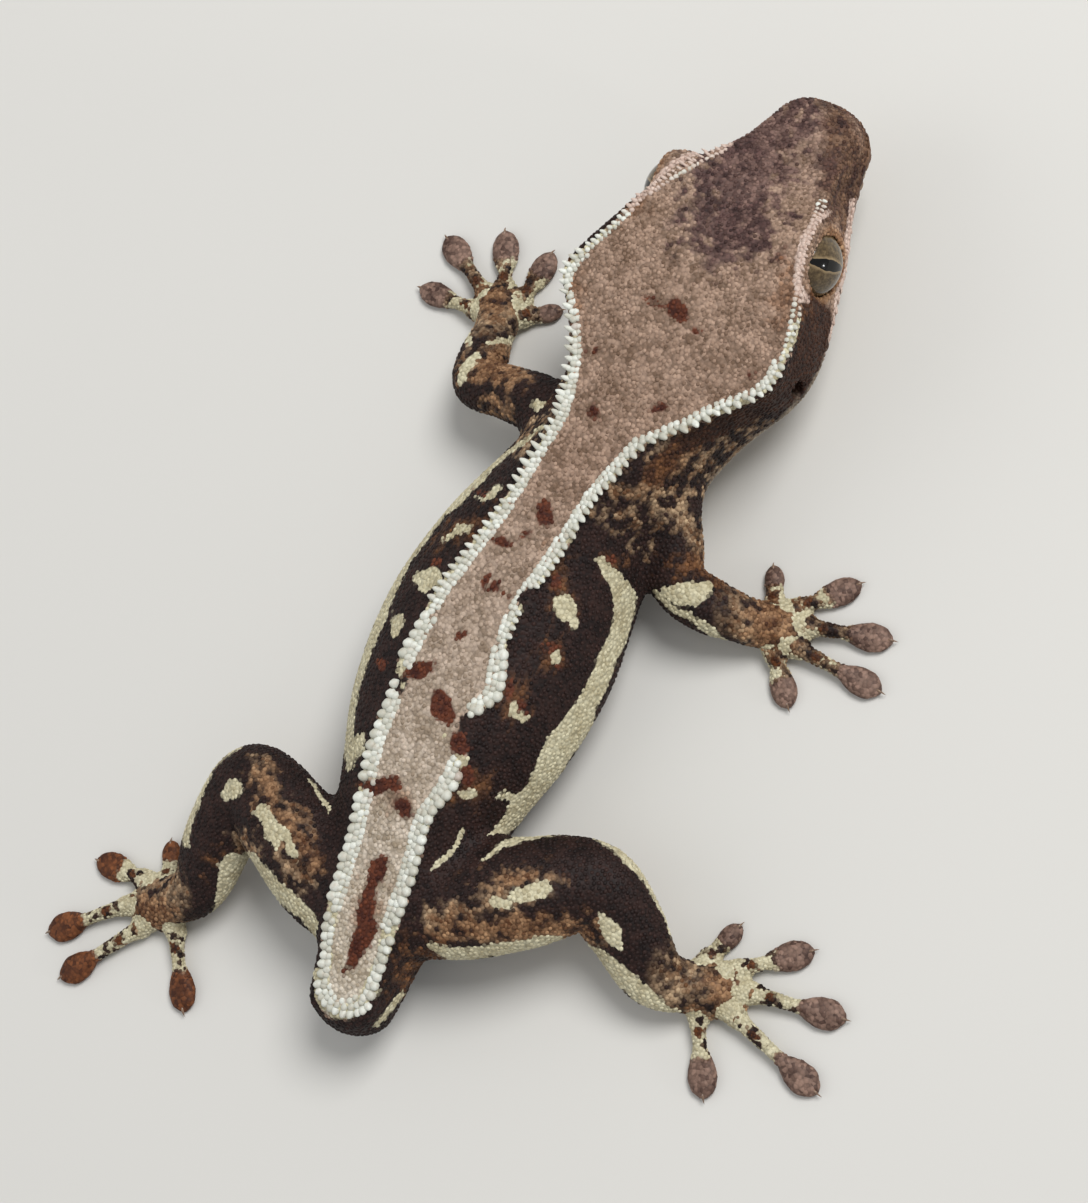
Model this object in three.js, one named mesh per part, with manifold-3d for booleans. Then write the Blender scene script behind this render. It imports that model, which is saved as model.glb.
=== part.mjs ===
// A crested gecko at life size, standing low on its four feet with the head slightly raised.
// Millimetres, +Z up. The floor is z = 0, the head points along -Y and the animal's left is +X.

import * as THREE from 'three';
import { ConvexGeometry } from 'three/addons/geometries/ConvexGeometry.js';
import { ParametricGeometry } from 'three/addons/geometries/ParametricGeometry.js';
import { mergeVertices } from 'three/addons/utils/BufferGeometryUtils.js';
import Module from 'manifold-3d';

const wasm = await Module();
wasm.setup();

// Gap between neighbouring pieces of the body.
const gap = 0.3;

// Moves the model so that its footprint is centred on the origin.
const centreX = 2.94;
const centreY = 0.0;

// The trunk from snout to stub. Each station has its place on the floor plan (x, y), the height of
// the back (top), half the width between the two crests and their height (crest, crestZ), half the
// full width and the height where it lies (half, halfZ), and the height of the underside (belly).
const stations = [
  { x: -8.6, y: -61.8, top: 13.6, crest: 3.4, crestZ: 13.0, half: 4.8, halfZ: 9.8, belly: 6.8 },
  { x: -8.0, y: -57.6, top: 14.3, crest: 4.5, crestZ: 13.8, half: 5.6, halfZ: 9.7, belly: 6.0 },
  { x: -7.3, y: -52.7, top: 15.7, crest: 5.8, crestZ: 15.3, half: 7.0, halfZ: 9.4, belly: 5.1 },
  { x: -6.7, y: -48.8, top: 17.3, crest: 7.4, crestZ: 17.2, half: 8.8, halfZ: 9.0, belly: 4.5 },
  { x: -6.1, y: -44.8, top: 18.5, crest: 8.9, crestZ: 18.8, half: 10.4, halfZ: 8.8, belly: 4.0 },
  { x: -5.3, y: -39.9, top: 19.3, crest: 11.0, crestZ: 18.9, half: 12.2, halfZ: 9.0, belly: 3.4 },
  { x: -4.6, y: -34.9, top: 19.5, crest: 13.0, crestZ: 18.7, half: 13.5, halfZ: 9.5, belly: 3.0 },
  { x: -4.0, y: -31.0, top: 19.2, crest: 13.7, crestZ: 18.4, half: 13.1, halfZ: 10.0, belly: 2.9 },
  { x: -3.4, y: -27.0, top: 18.7, crest: 10.2, crestZ: 18.1, half: 11.4, halfZ: 10.0, belly: 2.8 },
  { x: -2.8, y: -23.1, top: 18.2, crest: 7.5, crestZ: 17.7, half: 10.0, halfZ: 9.6, belly: 2.6 },
  { x: -1.8, y: -18.0, top: 17.7, crest: 5.7, crestZ: 17.3, half: 9.4, halfZ: 9.0, belly: 2.2 },
  { x: 0.4, y: -11.8, top: 17.3, crest: 4.6, crestZ: 16.9, half: 10.4, halfZ: 8.0, belly: 1.6 },
  { x: 2.5, y: -3.0, top: 17.1, crest: 4.7, crestZ: 16.6, half: 12.7, halfZ: 7.4, belly: 1.2 },
  { x: 3.4, y: 6.0, top: 17.0, crest: 5.0, crestZ: 16.4, half: 14.0, halfZ: 7.2, belly: 1.0 },
  { x: 3.6, y: 16.0, top: 16.7, crest: 5.2, crestZ: 16.0, half: 13.0, halfZ: 7.2, belly: 1.0 },
  { x: 3.1, y: 25.0, top: 15.9, crest: 4.7, crestZ: 15.2, half: 10.2, halfZ: 7.4, belly: 1.2 },
  { x: 2.3, y: 33.0, top: 14.5, crest: 4.4, crestZ: 13.9, half: 8.2, halfZ: 7.6, belly: 1.6 },
  { x: 1.8, y: 40.0, top: 12.9, crest: 4.1, crestZ: 12.3, half: 5.7, halfZ: 7.4, belly: 2.0 },
  { x: 1.4, y: 46.0, top: 11.5, crest: 3.6, crestZ: 10.9, half: 4.8, halfZ: 7.1, belly: 2.6 },
  { x: 1.2, y: 51.4, top: 10.4, crest: 3.0, crestZ: 9.8, half: 4.0, halfZ: 6.6, belly: 3.2 },
];

// Share by which the flank falls away straight below the crest, and not in a round curve.
const flankSlope = 0.35;

const trunkAround = 26;
const snoutRounding = 3.6;
const stubRounding = 3.4;

// Where the trunk is parted, by distance from the snout along the spine.
const neckStart = 34.6;
const torsoStart = 46.4;
const stubStart = 104.5;

// Eyes, by distance from the snout, place beside the middle line and height. The left one stands
// further out, as the head is turned a little to that side. A mound of lids holds each eye.
const eyeAlong = 17.2;
const eyeAsideLeft = 9.2;
const eyeAsideRight = 7.4;
const eyeHeight = 13.7;
const eyeRadius = 4.0;
const eyeTiltUp = 20;
const eyeTiltForward = 10;
const rimRadius = 3.35;
const rimThickness = 0.55;
const moundThickness = 0.95;

// Mouth line, by distance from the snout, with the height at each end.
const mouthLength = 24.5;
const mouthFrontZ = 9.1;
const mouthMiddleZ = 8.0;
const mouthBackZ = 8.6;

const nostril = { along: 1.7, aside: 2.9, height: 12.2, radius: 0.55 };
const earOpening = { along: 29.0, aside: 12.9, height: 11.2, length: 1.0, tall: 1.9, deep: 1.6 };

// Crest spines. Pitch, length and radius change from the brows to the stub.
const spineSink = 0.7;
const crestRuns = [
  { node: 'head', from: 11.6, to: 20.0, pitch: 1.3, length: 1.4, radius: 0.45, rise: 0.9 },
  { node: 'head', from: 21.0, to: 33.6, pitch: 1.55, length: 1.2, radius: 0.6, rise: 0.55 },
  { node: 'neck', from: 35.7, to: 45.4, pitch: 1.6, length: 1.4, radius: 0.62, rise: 0.7 },
  { node: 'torso', from: 47.5, to: 76.0, pitch: 1.7, length: 1.6, radius: 0.68, rise: 1.0 },
  { node: 'torso', from: 77.8, to: 103.4, pitch: 2.1, length: 1.1, radius: 0.85, rise: 1.0 },
  { node: 'tail_stub', from: 105.7, to: 111.5, pitch: 2.0, length: 0.9, radius: 0.75, rise: 1.0 },
];

// Limbs. The path runs from inside the trunk to inside the palm, with half the width and half the
// height of the limb at each point. bend is the point of the path where the limb is parted. The palm
// fans out from the wrist over its highest point, the hub, to the bases of the toes.
const limbs = [
  {
    names: ['upper_arm_left', 'forearm_left', 'hand_left'],
    toe: 'finger_left',
    path: [[2.5, -18.0, 9.0], [8.5, -19.6, 9.4], [14.2, -19.9, 8.2], [18.6, -20.0, 6.9],
      [20.3, -23.4, 4.9], [21.3, -27.0, 3.2], [22.6, -29.4, 2.0]],
    wide: [3.4, 3.4, 3.0, 2.9, 2.8, 2.2, 1.8],
    tall: [3.2, 3.1, 2.7, 2.5, 2.3, 1.6, 1.2],
    bend: 3,
    wrist: [21.5, -27.4], hub: [22.7, -29.8],
    toes: [
      { base: [19.6, -29.6], tip: [15.8, -32.1], pad: 1.15 },
      { base: [20.6, -31.4], tip: [19.9, -38.0], pad: 1.55 },
      { base: [23.1, -31.8], tip: [26.6, -38.5], pad: 1.65 },
      { base: [25.0, -30.6], tip: [33.2, -35.4], pad: 1.65 },
      { base: [25.2, -28.4], tip: [33.6, -28.7], pad: 1.5 },
    ],
  },
  {
    names: ['upper_arm_right', 'forearm_right', 'hand_right'],
    toe: 'finger_right',
    path: [[-2.5, -17.0, 9.0], [-7.8, -15.6, 9.2], [-10.8, -11.6, 8.0], [-12.9, -7.6, 6.8],
      [-16.6, -6.7, 5.2], [-20.6, -7.0, 3.4], [-23.2, -7.6, 2.0]],
    wide: [3.4, 3.4, 3.1, 3.0, 3.0, 2.4, 1.8],
    tall: [3.2, 3.1, 2.7, 2.5, 2.3, 1.7, 1.2],
    bend: 3,
    wrist: [-21.0, -7.0], hub: [-23.7, -7.8],
    toes: [
      { base: [-21.8, -10.2], tip: [-19.8, -13.9], pad: 1.15 },
      { base: [-24.6, -10.6], tip: [-29.7, -15.7], pad: 1.55 },
      { base: [-26.4, -9.1], tip: [-35.5, -11.2], pad: 1.65 },
      { base: [-26.2, -6.5], tip: [-36.6, -5.6], pad: 1.65 },
      { base: [-24.1, -5.0], tip: [-27.9, -0.2], pad: 1.5 },
    ],
  },
  {
    names: ['thigh_left', 'shin_left', 'foot_left'],
    toe: 'toe_left',
    path: [[1.0, 38.0, 8.4], [8.4, 37.2, 8.8], [15.6, 33.9, 9.2], [22.4, 31.3, 8.4],
      [24.4, 37.8, 6.4], [25.4, 44.6, 3.9], [30.0, 48.4, 2.0]],
    wide: [4.6, 5.7, 5.5, 4.4, 4.2, 3.2, 2.2],
    tall: [3.8, 4.4, 4.2, 3.4, 3.0, 2.0, 1.3],
    bend: 3,
    wrist: [26.4, 45.2], hub: [30.2, 48.0],
    toes: [
      { base: [30.6, 45.2], tip: [32.6, 41.4], pad: 1.2 },
      { base: [33.4, 46.6], tip: [40.3, 47.1], pad: 1.65 },
      { base: [34.0, 50.2], tip: [42.1, 57.1], pad: 1.75 },
      { base: [31.2, 51.8], tip: [38.2, 61.1], pad: 1.75 },
      { base: [26.9, 50.4], tip: [22.1, 58.1], pad: 1.65 },
    ],
  },
  {
    names: ['thigh_right', 'shin_right', 'foot_right'],
    toe: 'toe_right',
    path: [[3.0, 36.0, 8.4], [-4.2, 33.8, 8.8], [-11.6, 29.8, 9.2], [-18.6, 25.7, 8.4],
      [-22.8, 28.0, 6.4], [-27.6, 31.7, 3.9], [-32.4, 31.0, 2.0]],
    wide: [4.6, 6.2, 6.0, 4.7, 4.3, 3.3, 2.2],
    tall: [3.8, 4.4, 4.2, 3.4, 3.0, 2.0, 1.3],
    bend: 3,
    wrist: [-28.4, 31.6], hub: [-33.2, 30.3],
    toes: [
      { base: [-31.3, 27.7], tip: [-32.9, 23.0], pad: 1.2 },
      { base: [-34.8, 27.4], tip: [-41.3, 22.2], pad: 1.65 },
      { base: [-37.2, 29.0], tip: [-47.4, 27.4], pad: 1.75 },
      { base: [-36.6, 32.0], tip: [-47.8, 35.6], pad: 1.75 },
      { base: [-32.8, 33.6], tip: [-36.9, 41.3], pad: 1.65 },
    ],
  },
];

const limbAround = 12;
const limbAlong = 16;

// Turns the facets of the limbs about their paths, in radians.
const limbTurn = 0.35;

const palmCorners = 7;
const toeAround = 8;
const toeAlong = 8;
const clawRadius = 0.38;
const clawLength = 1.7;

const paint = {
  cream: { color: 0xd6d8c0, roughness: 0.62 },
  dorsum: { color: 0xb89c8c, roughness: 0.66 },
  flank: { color: 0x3a2424, roughness: 0.6 },
  foot: { color: 0x9a7c66, roughness: 0.62 },
  pad: { color: 0x7c4a34, roughness: 0.66 },
  eye: { color: 0x7a6a50, roughness: 0.12 },
};

// Repeatable chance, so that spines vary but never change from one run to the next.
let chanceState = 7;
function chance() {
  chanceState = (chanceState * 16807) % 2147483647;
  return chanceState / 2147483647;
}

function vary(size, share) {
  return size * (1 + share * (2 * chance() - 1));
}

// Turns a closed geometry into a solid with its faces pointing out.
function solidOf(geometry) {
  const bare = geometry.index ? geometry.clone() : geometry;
  bare.deleteAttribute('normal');
  bare.deleteAttribute('uv');
  const merged = mergeVertices(bare, 1e-4);
  const positions = merged.getAttribute('position').array;
  const corners = merged.index.array;
  const triangles = [];
  let volume = 0;
  for (let i = 0; i < corners.length; i += 3) {
    const [a, b, c] = [corners[i], corners[i + 1], corners[i + 2]];
    if (a === b || b === c || c === a) {
      continue;
    }
    triangles.push(a, b, c);
    const pa = new THREE.Vector3().fromArray(positions, a * 3);
    const pb = new THREE.Vector3().fromArray(positions, b * 3);
    const pc = new THREE.Vector3().fromArray(positions, c * 3);
    volume += pa.dot(pb.cross(pc)) / 6;
  }
  if (volume < 0) {
    for (let i = 0; i < triangles.length; i += 3) {
      [triangles[i + 1], triangles[i + 2]] = [triangles[i + 2], triangles[i + 1]];
    }
  }
  return new wasm.Manifold(new wasm.Mesh({
    numProp: 3,
    vertProperties: Float32Array.from(positions),
    triVerts: Uint32Array.from(triangles),
  }));
}

// Keeps the largest closed surface of a solid.
function largest(solid) {
  const pieces = solid.decompose();
  pieces.sort((a, b) => b.volume() - a.volume());
  return pieces[0];
}

// Smooth value at a distance, from values given at rising distances.
function smoothAt(distances, values, at) {
  const last = distances.length - 1;
  let i = 0;
  while (i < last - 1 && at > distances[i + 1]) {
    i += 1;
  }
  const slope = (k) => {
    const lower = Math.max(0, k - 1);
    const upper = Math.min(last, k + 1);
    return (values[upper] - values[lower]) / (distances[upper] - distances[lower]);
  };
  const span = distances[i + 1] - distances[i];
  const t = Math.min(1, Math.max(0, (at - distances[i]) / span));
  const t2 = t * t;
  const t3 = t2 * t;
  return (2 * t3 - 3 * t2 + 1) * values[i]
    + (t3 - 2 * t2 + t) * span * slope(i)
    + (3 * t2 - 2 * t3) * values[i + 1]
    + (t3 - t2) * span * slope(i + 1);
}

const along = [0];
for (let i = 1; i < stations.length; i += 1) {
  const stepX = stations[i].x - stations[i - 1].x;
  const stepY = stations[i].y - stations[i - 1].y;
  along.push(along[i - 1] + Math.hypot(stepX, stepY));
}
const trunkLength = along[along.length - 1];
const columns = {};
for (const key of Object.keys(stations[0])) {
  columns[key] = stations.map((station) => station[key]);
}

// All sizes of the trunk at a distance from the snout, with its middle point and side direction.
function trunkAt(distance) {
  const sizes = {};
  for (const key of Object.keys(columns)) {
    sizes[key] = smoothAt(along, columns[key], distance);
  }
  const step = 0.5;
  const before = Math.max(0, distance - step);
  const after = Math.min(trunkLength, distance + step);
  const headingX = smoothAt(along, columns.x, after) - smoothAt(along, columns.x, before);
  const headingY = smoothAt(along, columns.y, after) - smoothAt(along, columns.y, before);
  sizes.heading = new THREE.Vector3(headingX, headingY, 0).normalize();
  sizes.side = new THREE.Vector3(sizes.heading.y, -sizes.heading.x, 0);
  return sizes;
}

// A point of the trunk's section. turn runs from 0 at the middle of the back to 1 at the belly.
function sectionPoint(sizes, turn, grow) {
  const shelfEnd = 0.3;
  const flankEnd = 0.58;
  const crest = sizes.crest + grow;
  const half = sizes.half + grow;
  const top = sizes.top + grow;
  const crestZ = sizes.crestZ + grow;
  const belly = sizes.belly - grow;
  if (turn <= shelfEnd) {
    const t = turn / shelfEnd;
    return [crest * t, top - (top - crestZ) * t * t];
  }
  if (turn <= flankEnd) {
    const t = (turn - shelfEnd) / (flankEnd - shelfEnd);
    const outward = (1 - flankSlope) * Math.sin(t * Math.PI / 2) + flankSlope * t;
    const downward = (1 - flankSlope) * (1 - Math.cos(t * Math.PI / 2)) + flankSlope * t;
    return [crest + (half - crest) * outward, crestZ - (crestZ - sizes.halfZ) * downward];
  }
  const t = (turn - flankEnd) / (1 - flankEnd) * Math.PI / 2;
  return [half * Math.cos(t) ** 0.85, sizes.halfZ - (sizes.halfZ - belly) * Math.sin(t) ** 0.85];
}

// Distances of the trunk's rings: close together where its two ends are rounded.
function ringDistances() {
  const rings = [];
  const endSteps = 5;
  for (let i = 0; i < endSteps; i += 1) {
    rings.push(snoutRounding * (1 - Math.cos((i / endSteps) * Math.PI / 2)));
  }
  const middleSteps = 46;
  const middleLength = trunkLength - snoutRounding - stubRounding;
  for (let i = 0; i <= middleSteps; i += 1) {
    rings.push(snoutRounding + (i / middleSteps) * middleLength);
  }
  for (let i = 1; i <= endSteps; i += 1) {
    rings.push(trunkLength - stubRounding * (1 - Math.sin((i / endSteps) * Math.PI / 2)));
  }
  return rings;
}

function endShare(distance) {
  const front = Math.min(1, distance / snoutRounding);
  const back = Math.min(1, (trunkLength - distance) / stubRounding);
  return Math.sqrt(Math.max(0, 1 - (1 - front) ** 2)) * Math.sqrt(Math.max(0, 1 - (1 - back) ** 2));
}

function makeTrunk(grow) {
  const rings = ringDistances();
  const geometry = new ParametricGeometry((u, v, target) => {
    const distance = rings[Math.round(v * (rings.length - 1))];
    const sizes = trunkAt(distance);
    const share = endShare(distance);
    const left = u <= 0.5;
    const turn = left ? u * 2 : (1 - u) * 2;
    const [across, height] = sectionPoint(sizes, turn, grow);
    const reach = (left ? across : -across) * share;
    const lift = sizes.halfZ + (height - sizes.halfZ) * share;
    target.set(sizes.x, sizes.y, lift).addScaledVector(sizes.side, reach);
    if (distance < snoutRounding) {
      target.addScaledVector(sizes.heading, -grow);
    }
  }, trunkAround, rings.length - 1);
  return solidOf(geometry);
}

// A point beside the trunk's middle line: distance from the snout, sideways, height.
function beside(distance, aside, height) {
  const sizes = trunkAt(distance);
  return new THREE.Vector3(sizes.x, sizes.y, height).addScaledVector(sizes.side, aside);
}

// A thin upright sheet across the trunk, which parts it.
function crossSheet(distance) {
  const sizes = trunkAt(distance);
  const sheet = new THREE.BoxGeometry(60, gap, 60);
  sheet.rotateZ(Math.atan2(sizes.heading.y, sizes.heading.x) - Math.PI / 2);
  sheet.translate(sizes.x, sizes.y, 0);
  return solidOf(sheet);
}

// Parts a solid by a thin sheet and gives the two sides, the one nearer the snout first.
function partBy(solid, sheet, pointAhead) {
  const pieces = solid.subtract(sheet).decompose();
  pieces.sort((a, b) => b.volume() - a.volume());
  const distanceTo = (piece) => {
    const box = piece.boundingBox();
    const middle = new THREE.Vector3().fromArray(box.min).add(new THREE.Vector3().fromArray(box.max));
    return middle.multiplyScalar(0.5).distanceTo(pointAhead);
  };
  const [first, second] = pieces;
  return distanceTo(first) < distanceTo(second) ? [first, second] : [second, first];
}

function mouthHeight(distance) {
  const places = [-4, 0, mouthLength * 0.55, mouthLength];
  return smoothAt(places, [mouthFrontZ, mouthFrontZ, mouthMiddleZ, mouthBackZ], distance);
}

// The thin gap of the mouth: back along the mouth line, then down through the throat.
function mouthSheet() {
  const outline = new THREE.Shape();
  const steps = 12;
  const start = -4;
  const place = (i) => start + (mouthLength - start) * (i / steps);
  outline.moveTo(start, mouthHeight(start) + gap);
  for (let i = 1; i <= steps; i += 1) {
    outline.lineTo(place(i), mouthHeight(place(i)) + gap);
  }
  outline.lineTo(mouthLength + gap, mouthHeight(mouthLength));
  outline.lineTo(mouthLength + gap, -4);
  outline.lineTo(mouthLength, -4);
  for (let i = steps; i >= 0; i -= 1) {
    outline.lineTo(place(i), mouthHeight(place(i)));
  }
  const sheetWidth = 50;
  const sheet = new THREE.ExtrudeGeometry(outline, { depth: sheetWidth, bevelEnabled: false });
  const sizes = trunkAt(eyeAlong);
  const snout = trunkAt(0);
  sheet.translate(0, 0, -sheetWidth / 2);
  const turn = new THREE.Matrix4().makeBasis(
    sizes.heading,
    new THREE.Vector3(0, 0, 1),
    new THREE.Vector3().crossVectors(sizes.heading, new THREE.Vector3(0, 0, 1)),
  );
  sheet.applyMatrix4(turn);
  sheet.translate(snout.x, snout.y, 0);
  return solidOf(sheet);
}

// The direction in which an eye looks. sign is 1 for the left eye and -1 for the right one.
function gaze(sign) {
  const sizes = trunkAt(eyeAlong);
  const up = THREE.MathUtils.degToRad(eyeTiltUp);
  const forward = THREE.MathUtils.degToRad(eyeTiltForward);
  return new THREE.Vector3(0, 0, Math.sin(up))
    .addScaledVector(sizes.side, sign * Math.cos(up) * Math.cos(forward))
    .addScaledVector(sizes.heading, -Math.cos(up) * Math.sin(forward));
}

function eyeCentre(sign) {
  return beside(eyeAlong, sign > 0 ? eyeAsideLeft : -eyeAsideRight, eyeHeight);
}

function turnTo(geometry, from, to) {
  const turn = new THREE.Quaternion().setFromUnitVectors(from, to.clone().normalize());
  geometry.applyQuaternion(turn);
  return geometry;
}

// The lids of an eye: a round mound, cut off square where a thicker rim runs round the opening.
function eyeLids(sign) {
  const rimDepth = Math.sqrt(eyeRadius ** 2 - rimRadius ** 2);
  const rim = new THREE.TorusGeometry(rimRadius, rimThickness, 6, 18);
  turnTo(rim, new THREE.Vector3(0, 0, 1), gaze(sign));
  const place = eyeCentre(sign).addScaledVector(gaze(sign), rimDepth);
  rim.translate(place.x, place.y, place.z);
  const openingSize = 14;
  const opening = new THREE.BoxGeometry(openingSize, openingSize, openingSize);
  turnTo(opening, new THREE.Vector3(0, 0, 1), gaze(sign));
  const cut = eyeCentre(sign).addScaledVector(gaze(sign), rimDepth - 0.1 + openingSize / 2);
  opening.translate(cut.x, cut.y, cut.z);
  const mound = ball(eyeCentre(sign), eyeRadius + moundThickness, 16, 10);
  return mound.subtract(solidOf(opening)).add(solidOf(rim));
}

function ball(centre, radius, around, rows) {
  const sphere = new THREE.SphereGeometry(radius, around, rows);
  sphere.translate(centre.x, centre.y, centre.z);
  return solidOf(sphere);
}

function earPit(sign) {
  const pit = new THREE.SphereGeometry(1, 10, 8);
  pit.scale(earOpening.deep, earOpening.length, earOpening.tall);
  const centre = beside(earOpening.along, sign * earOpening.aside, earOpening.height);
  pit.translate(centre.x, centre.y, centre.z);
  return solidOf(pit);
}

// One crest spine: a short cone of few sides, sunk into the skin at its root.
function spine(root, direction, radius, length) {
  const cone = new THREE.ConeGeometry(radius, length + spineSink, 5);
  cone.translate(0, (length + spineSink) / 2 - spineSink, 0);
  turnTo(cone, new THREE.Vector3(0, 1, 0), direction);
  cone.translate(root.x, root.y, root.z);
  return solidOf(cone);
}

// Both rows of spines of one run along the crests.
function spinesOf(run) {
  const count = Math.round((run.to - run.from) / run.pitch);
  const made = [];
  for (const sign of [1, -1]) {
    for (let i = 0; i <= count; i += 1) {
      const distance = run.from + ((run.to - run.from) * i) / count;
      const sizes = trunkAt(distance);
      const share = endShare(distance);
      const height = sizes.halfZ + (sizes.crestZ - sizes.halfZ) * share;
      const root = beside(distance, sign * (sizes.crest - 0.1) * share, height - 0.1);
      const direction = new THREE.Vector3(0, 0, vary(run.rise, 0.15))
        .addScaledVector(sizes.side, sign)
        .addScaledVector(sizes.heading, vary(0.12, 0.6));
      made.push(spine(root, direction, vary(run.radius, 0.12), vary(run.length, 0.18)));
    }
  }
  return made;
}

// The palm or sole: a low fan from the wrist out to the base of each toe, flat below.
function palmSolid(limb, grow) {
  const rings = [];
  for (const toe of limb.toes) {
    const [x, y] = toe.base;
    rings.push([x, y, 0, 1.15], [x, y, 0.8, 1.3], [x, y, 1.6, 0.85]);
  }
  const [wristX, wristY] = limb.wrist;
  const [hubX, hubY] = limb.hub;
  rings.push([wristX, wristY, 0.5, 1.5], [wristX, wristY, 2.0, 2.0], [wristX, wristY, 3.4, 1.3]);
  rings.push([hubX, hubY, 2.7, 1.2]);
  const points = [];
  for (const [x, y, z, radius] of rings) {
    const height = z + grow * (z / 1.6 - 0.5);
    for (let i = 0; i < palmCorners; i += 1) {
      const turn = (i / palmCorners) * Math.PI * 2;
      const reach = radius + grow;
      points.push(new THREE.Vector3(x + Math.cos(turn) * reach, y + Math.sin(turn) * reach, height));
    }
  }
  return solidOf(new ConvexGeometry(points));
}

// A limb from inside the trunk to inside its palm, round in section and flattened a little.
function limbSolid(limb) {
  const points = limb.path.map((point) => new THREE.Vector3().fromArray(point));
  const spans = [0];
  for (let i = 1; i < points.length; i += 1) {
    spans.push(spans[i - 1] + points[i].distanceTo(points[i - 1]));
  }
  const length = spans[spans.length - 1];
  const columnsOf = [0, 1, 2].map((axis) => limb.path.map((point) => point[axis]));
  const at = (distance) => new THREE.Vector3(
    smoothAt(spans, columnsOf[0], distance),
    smoothAt(spans, columnsOf[1], distance),
    smoothAt(spans, columnsOf[2], distance),
  );
  const tangentAt = (distance) => {
    const ahead = at(Math.min(length, distance + 0.4));
    return ahead.sub(at(Math.max(0, distance - 0.4))).normalize();
  };
  const geometry = new ParametricGeometry((u, v, target) => {
    const distance = v * length;
    const tangent = tangentAt(distance);
    const side = new THREE.Vector3(0, 0, 1).cross(tangent).normalize();
    const up = new THREE.Vector3().crossVectors(tangent, side);
    const end = Math.min(1, v * 8, (1 - v) * 8);
    const share = Math.sqrt(Math.max(0, 1 - (1 - end) ** 2));
    const wide = smoothAt(spans, limb.wide, distance) * share;
    const tall = smoothAt(spans, limb.tall, distance) * share;
    const turn = u * Math.PI * 2 + limbTurn;
    target.copy(at(distance))
      .addScaledVector(side, Math.cos(turn) * wide)
      .addScaledVector(up, Math.sin(turn) * tall);
  }, limbAround, limbAlong);
  const bendPoint = at(spans[limb.bend]);
  const sheet = new THREE.BoxGeometry(16, 16, gap);
  turnTo(sheet, new THREE.Vector3(0, 0, 1), tangentAt(spans[limb.bend]));
  sheet.translate(bendPoint.x, bendPoint.y, bendPoint.z);
  return { solid: solidOf(geometry), sheet: solidOf(sheet), root: points[1] };
}

// A toe: narrow at its base, with a wide climbing pad and a small claw at the tip.
function toeSolid(toe) {
  const base = new THREE.Vector3(toe.base[0], toe.base[1], 1.5);
  const tip = new THREE.Vector3(toe.tip[0], toe.tip[1], 0.55);
  const flat = tip.clone().sub(base).setZ(0);
  const length = flat.length();
  const heading = flat.clone().normalize();
  const side = new THREE.Vector3(-heading.y, heading.x, 0);
  const sink = 1.6;
  const padShare = Math.min(0.62, 4.4 / length);
  const places = [0, 0.3, 1 - padShare, 1 - padShare * 0.72, 1 - padShare * 0.38, 1];
  const wides = [0.95, 0.8, 0.72, toe.pad * 0.8, toe.pad, 0.42];
  const talls = [0.95, 0.8, 0.7, 0.72, 0.72, 0.5];
  const lifts = [1.5, 1.25, 0.95, 0.7, 0.55, 0.5];
  const geometry = new ParametricGeometry((u, v, target) => {
    const end = Math.min(1, v * 5, (1 - v) * 5);
    const share = Math.sqrt(Math.max(0, 1 - (1 - end) ** 2));
    const wide = smoothAt(places, wides, v) * share;
    const tall = smoothAt(places, talls, v) * share;
    const turn = u * Math.PI * 2;
    target.copy(base).addScaledVector(heading, -sink + v * (length + sink));
    target.z = smoothAt(places, lifts, v) + Math.sin(turn) * tall;
    target.addScaledVector(side, Math.cos(turn) * wide);
  }, toeAround, toeAlong);
  const claw = new THREE.ConeGeometry(clawRadius, clawLength, 6);
  claw.translate(0, clawLength / 2 - 0.8, 0);
  turnTo(claw, new THREE.Vector3(0, 1, 0), heading.clone().setZ(-0.12));
  claw.translate(toe.tip[0], toe.tip[1], 0.72);
  return solidOf(geometry).add(solidOf(claw));
}

const gecko = new THREE.Group();

// Adds a finished solid to the model under its name.
function addNode(name, solid, look) {
  const { vertProperties, triVerts, numProp } = solid.getMesh();
  const positions = new Float32Array((vertProperties.length / numProp) * 3);
  for (let i = 0; i < positions.length / 3; i += 1) {
    for (let axis = 0; axis < 3; axis += 1) {
      positions[i * 3 + axis] = vertProperties[i * numProp + axis];
    }
  }
  const geometry = new THREE.BufferGeometry();
  geometry.setAttribute('position', new THREE.BufferAttribute(positions, 3));
  geometry.setIndex(new THREE.BufferAttribute(Uint32Array.from(triVerts), 1));
  geometry.computeVertexNormals();
  const material = new THREE.MeshStandardMaterial({
    color: look.color,
    roughness: look.roughness,
    metalness: 0,
  });
  const mesh = new THREE.Mesh(geometry, material);
  mesh.name = name;
  gecko.add(mesh);
}

const floorBlock = new THREE.BoxGeometry(400, 400, 20);
floorBlock.translate(0, 0, -10);
const underFloor = solidOf(floorBlock);

// The trunk, parted into head, neck, torso and the healed stub of the tail.
const trunk = makeTrunk(0);
const trunkGrown = makeTrunk(gap);
const ahead = beside(0, 0, 10);
const [headBlock, behindHead] = partBy(trunk, crossSheet(neckStart), ahead);
const [neckBlock, behindNeck] = partBy(behindHead, crossSheet(torsoStart), ahead);
const [torsoBlock, stubBlock] = partBy(behindNeck, crossSheet(stubStart), ahead);

let head = headBlock;
for (const sign of [1, -1]) {
  head = head.add(eyeLids(sign));
}
for (const sign of [1, -1]) {
  const nostrilPlace = beside(nostril.along, sign * nostril.aside, nostril.height);
  head = head.subtract(ball(nostrilPlace, nostril.radius, 8, 6));
  head = head.subtract(earPit(sign));
}
const jawPoint = beside(mouthLength / 2, 0, 5);
const [jaw, skull] = partBy(head, mouthSheet(), jawPoint);

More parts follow.
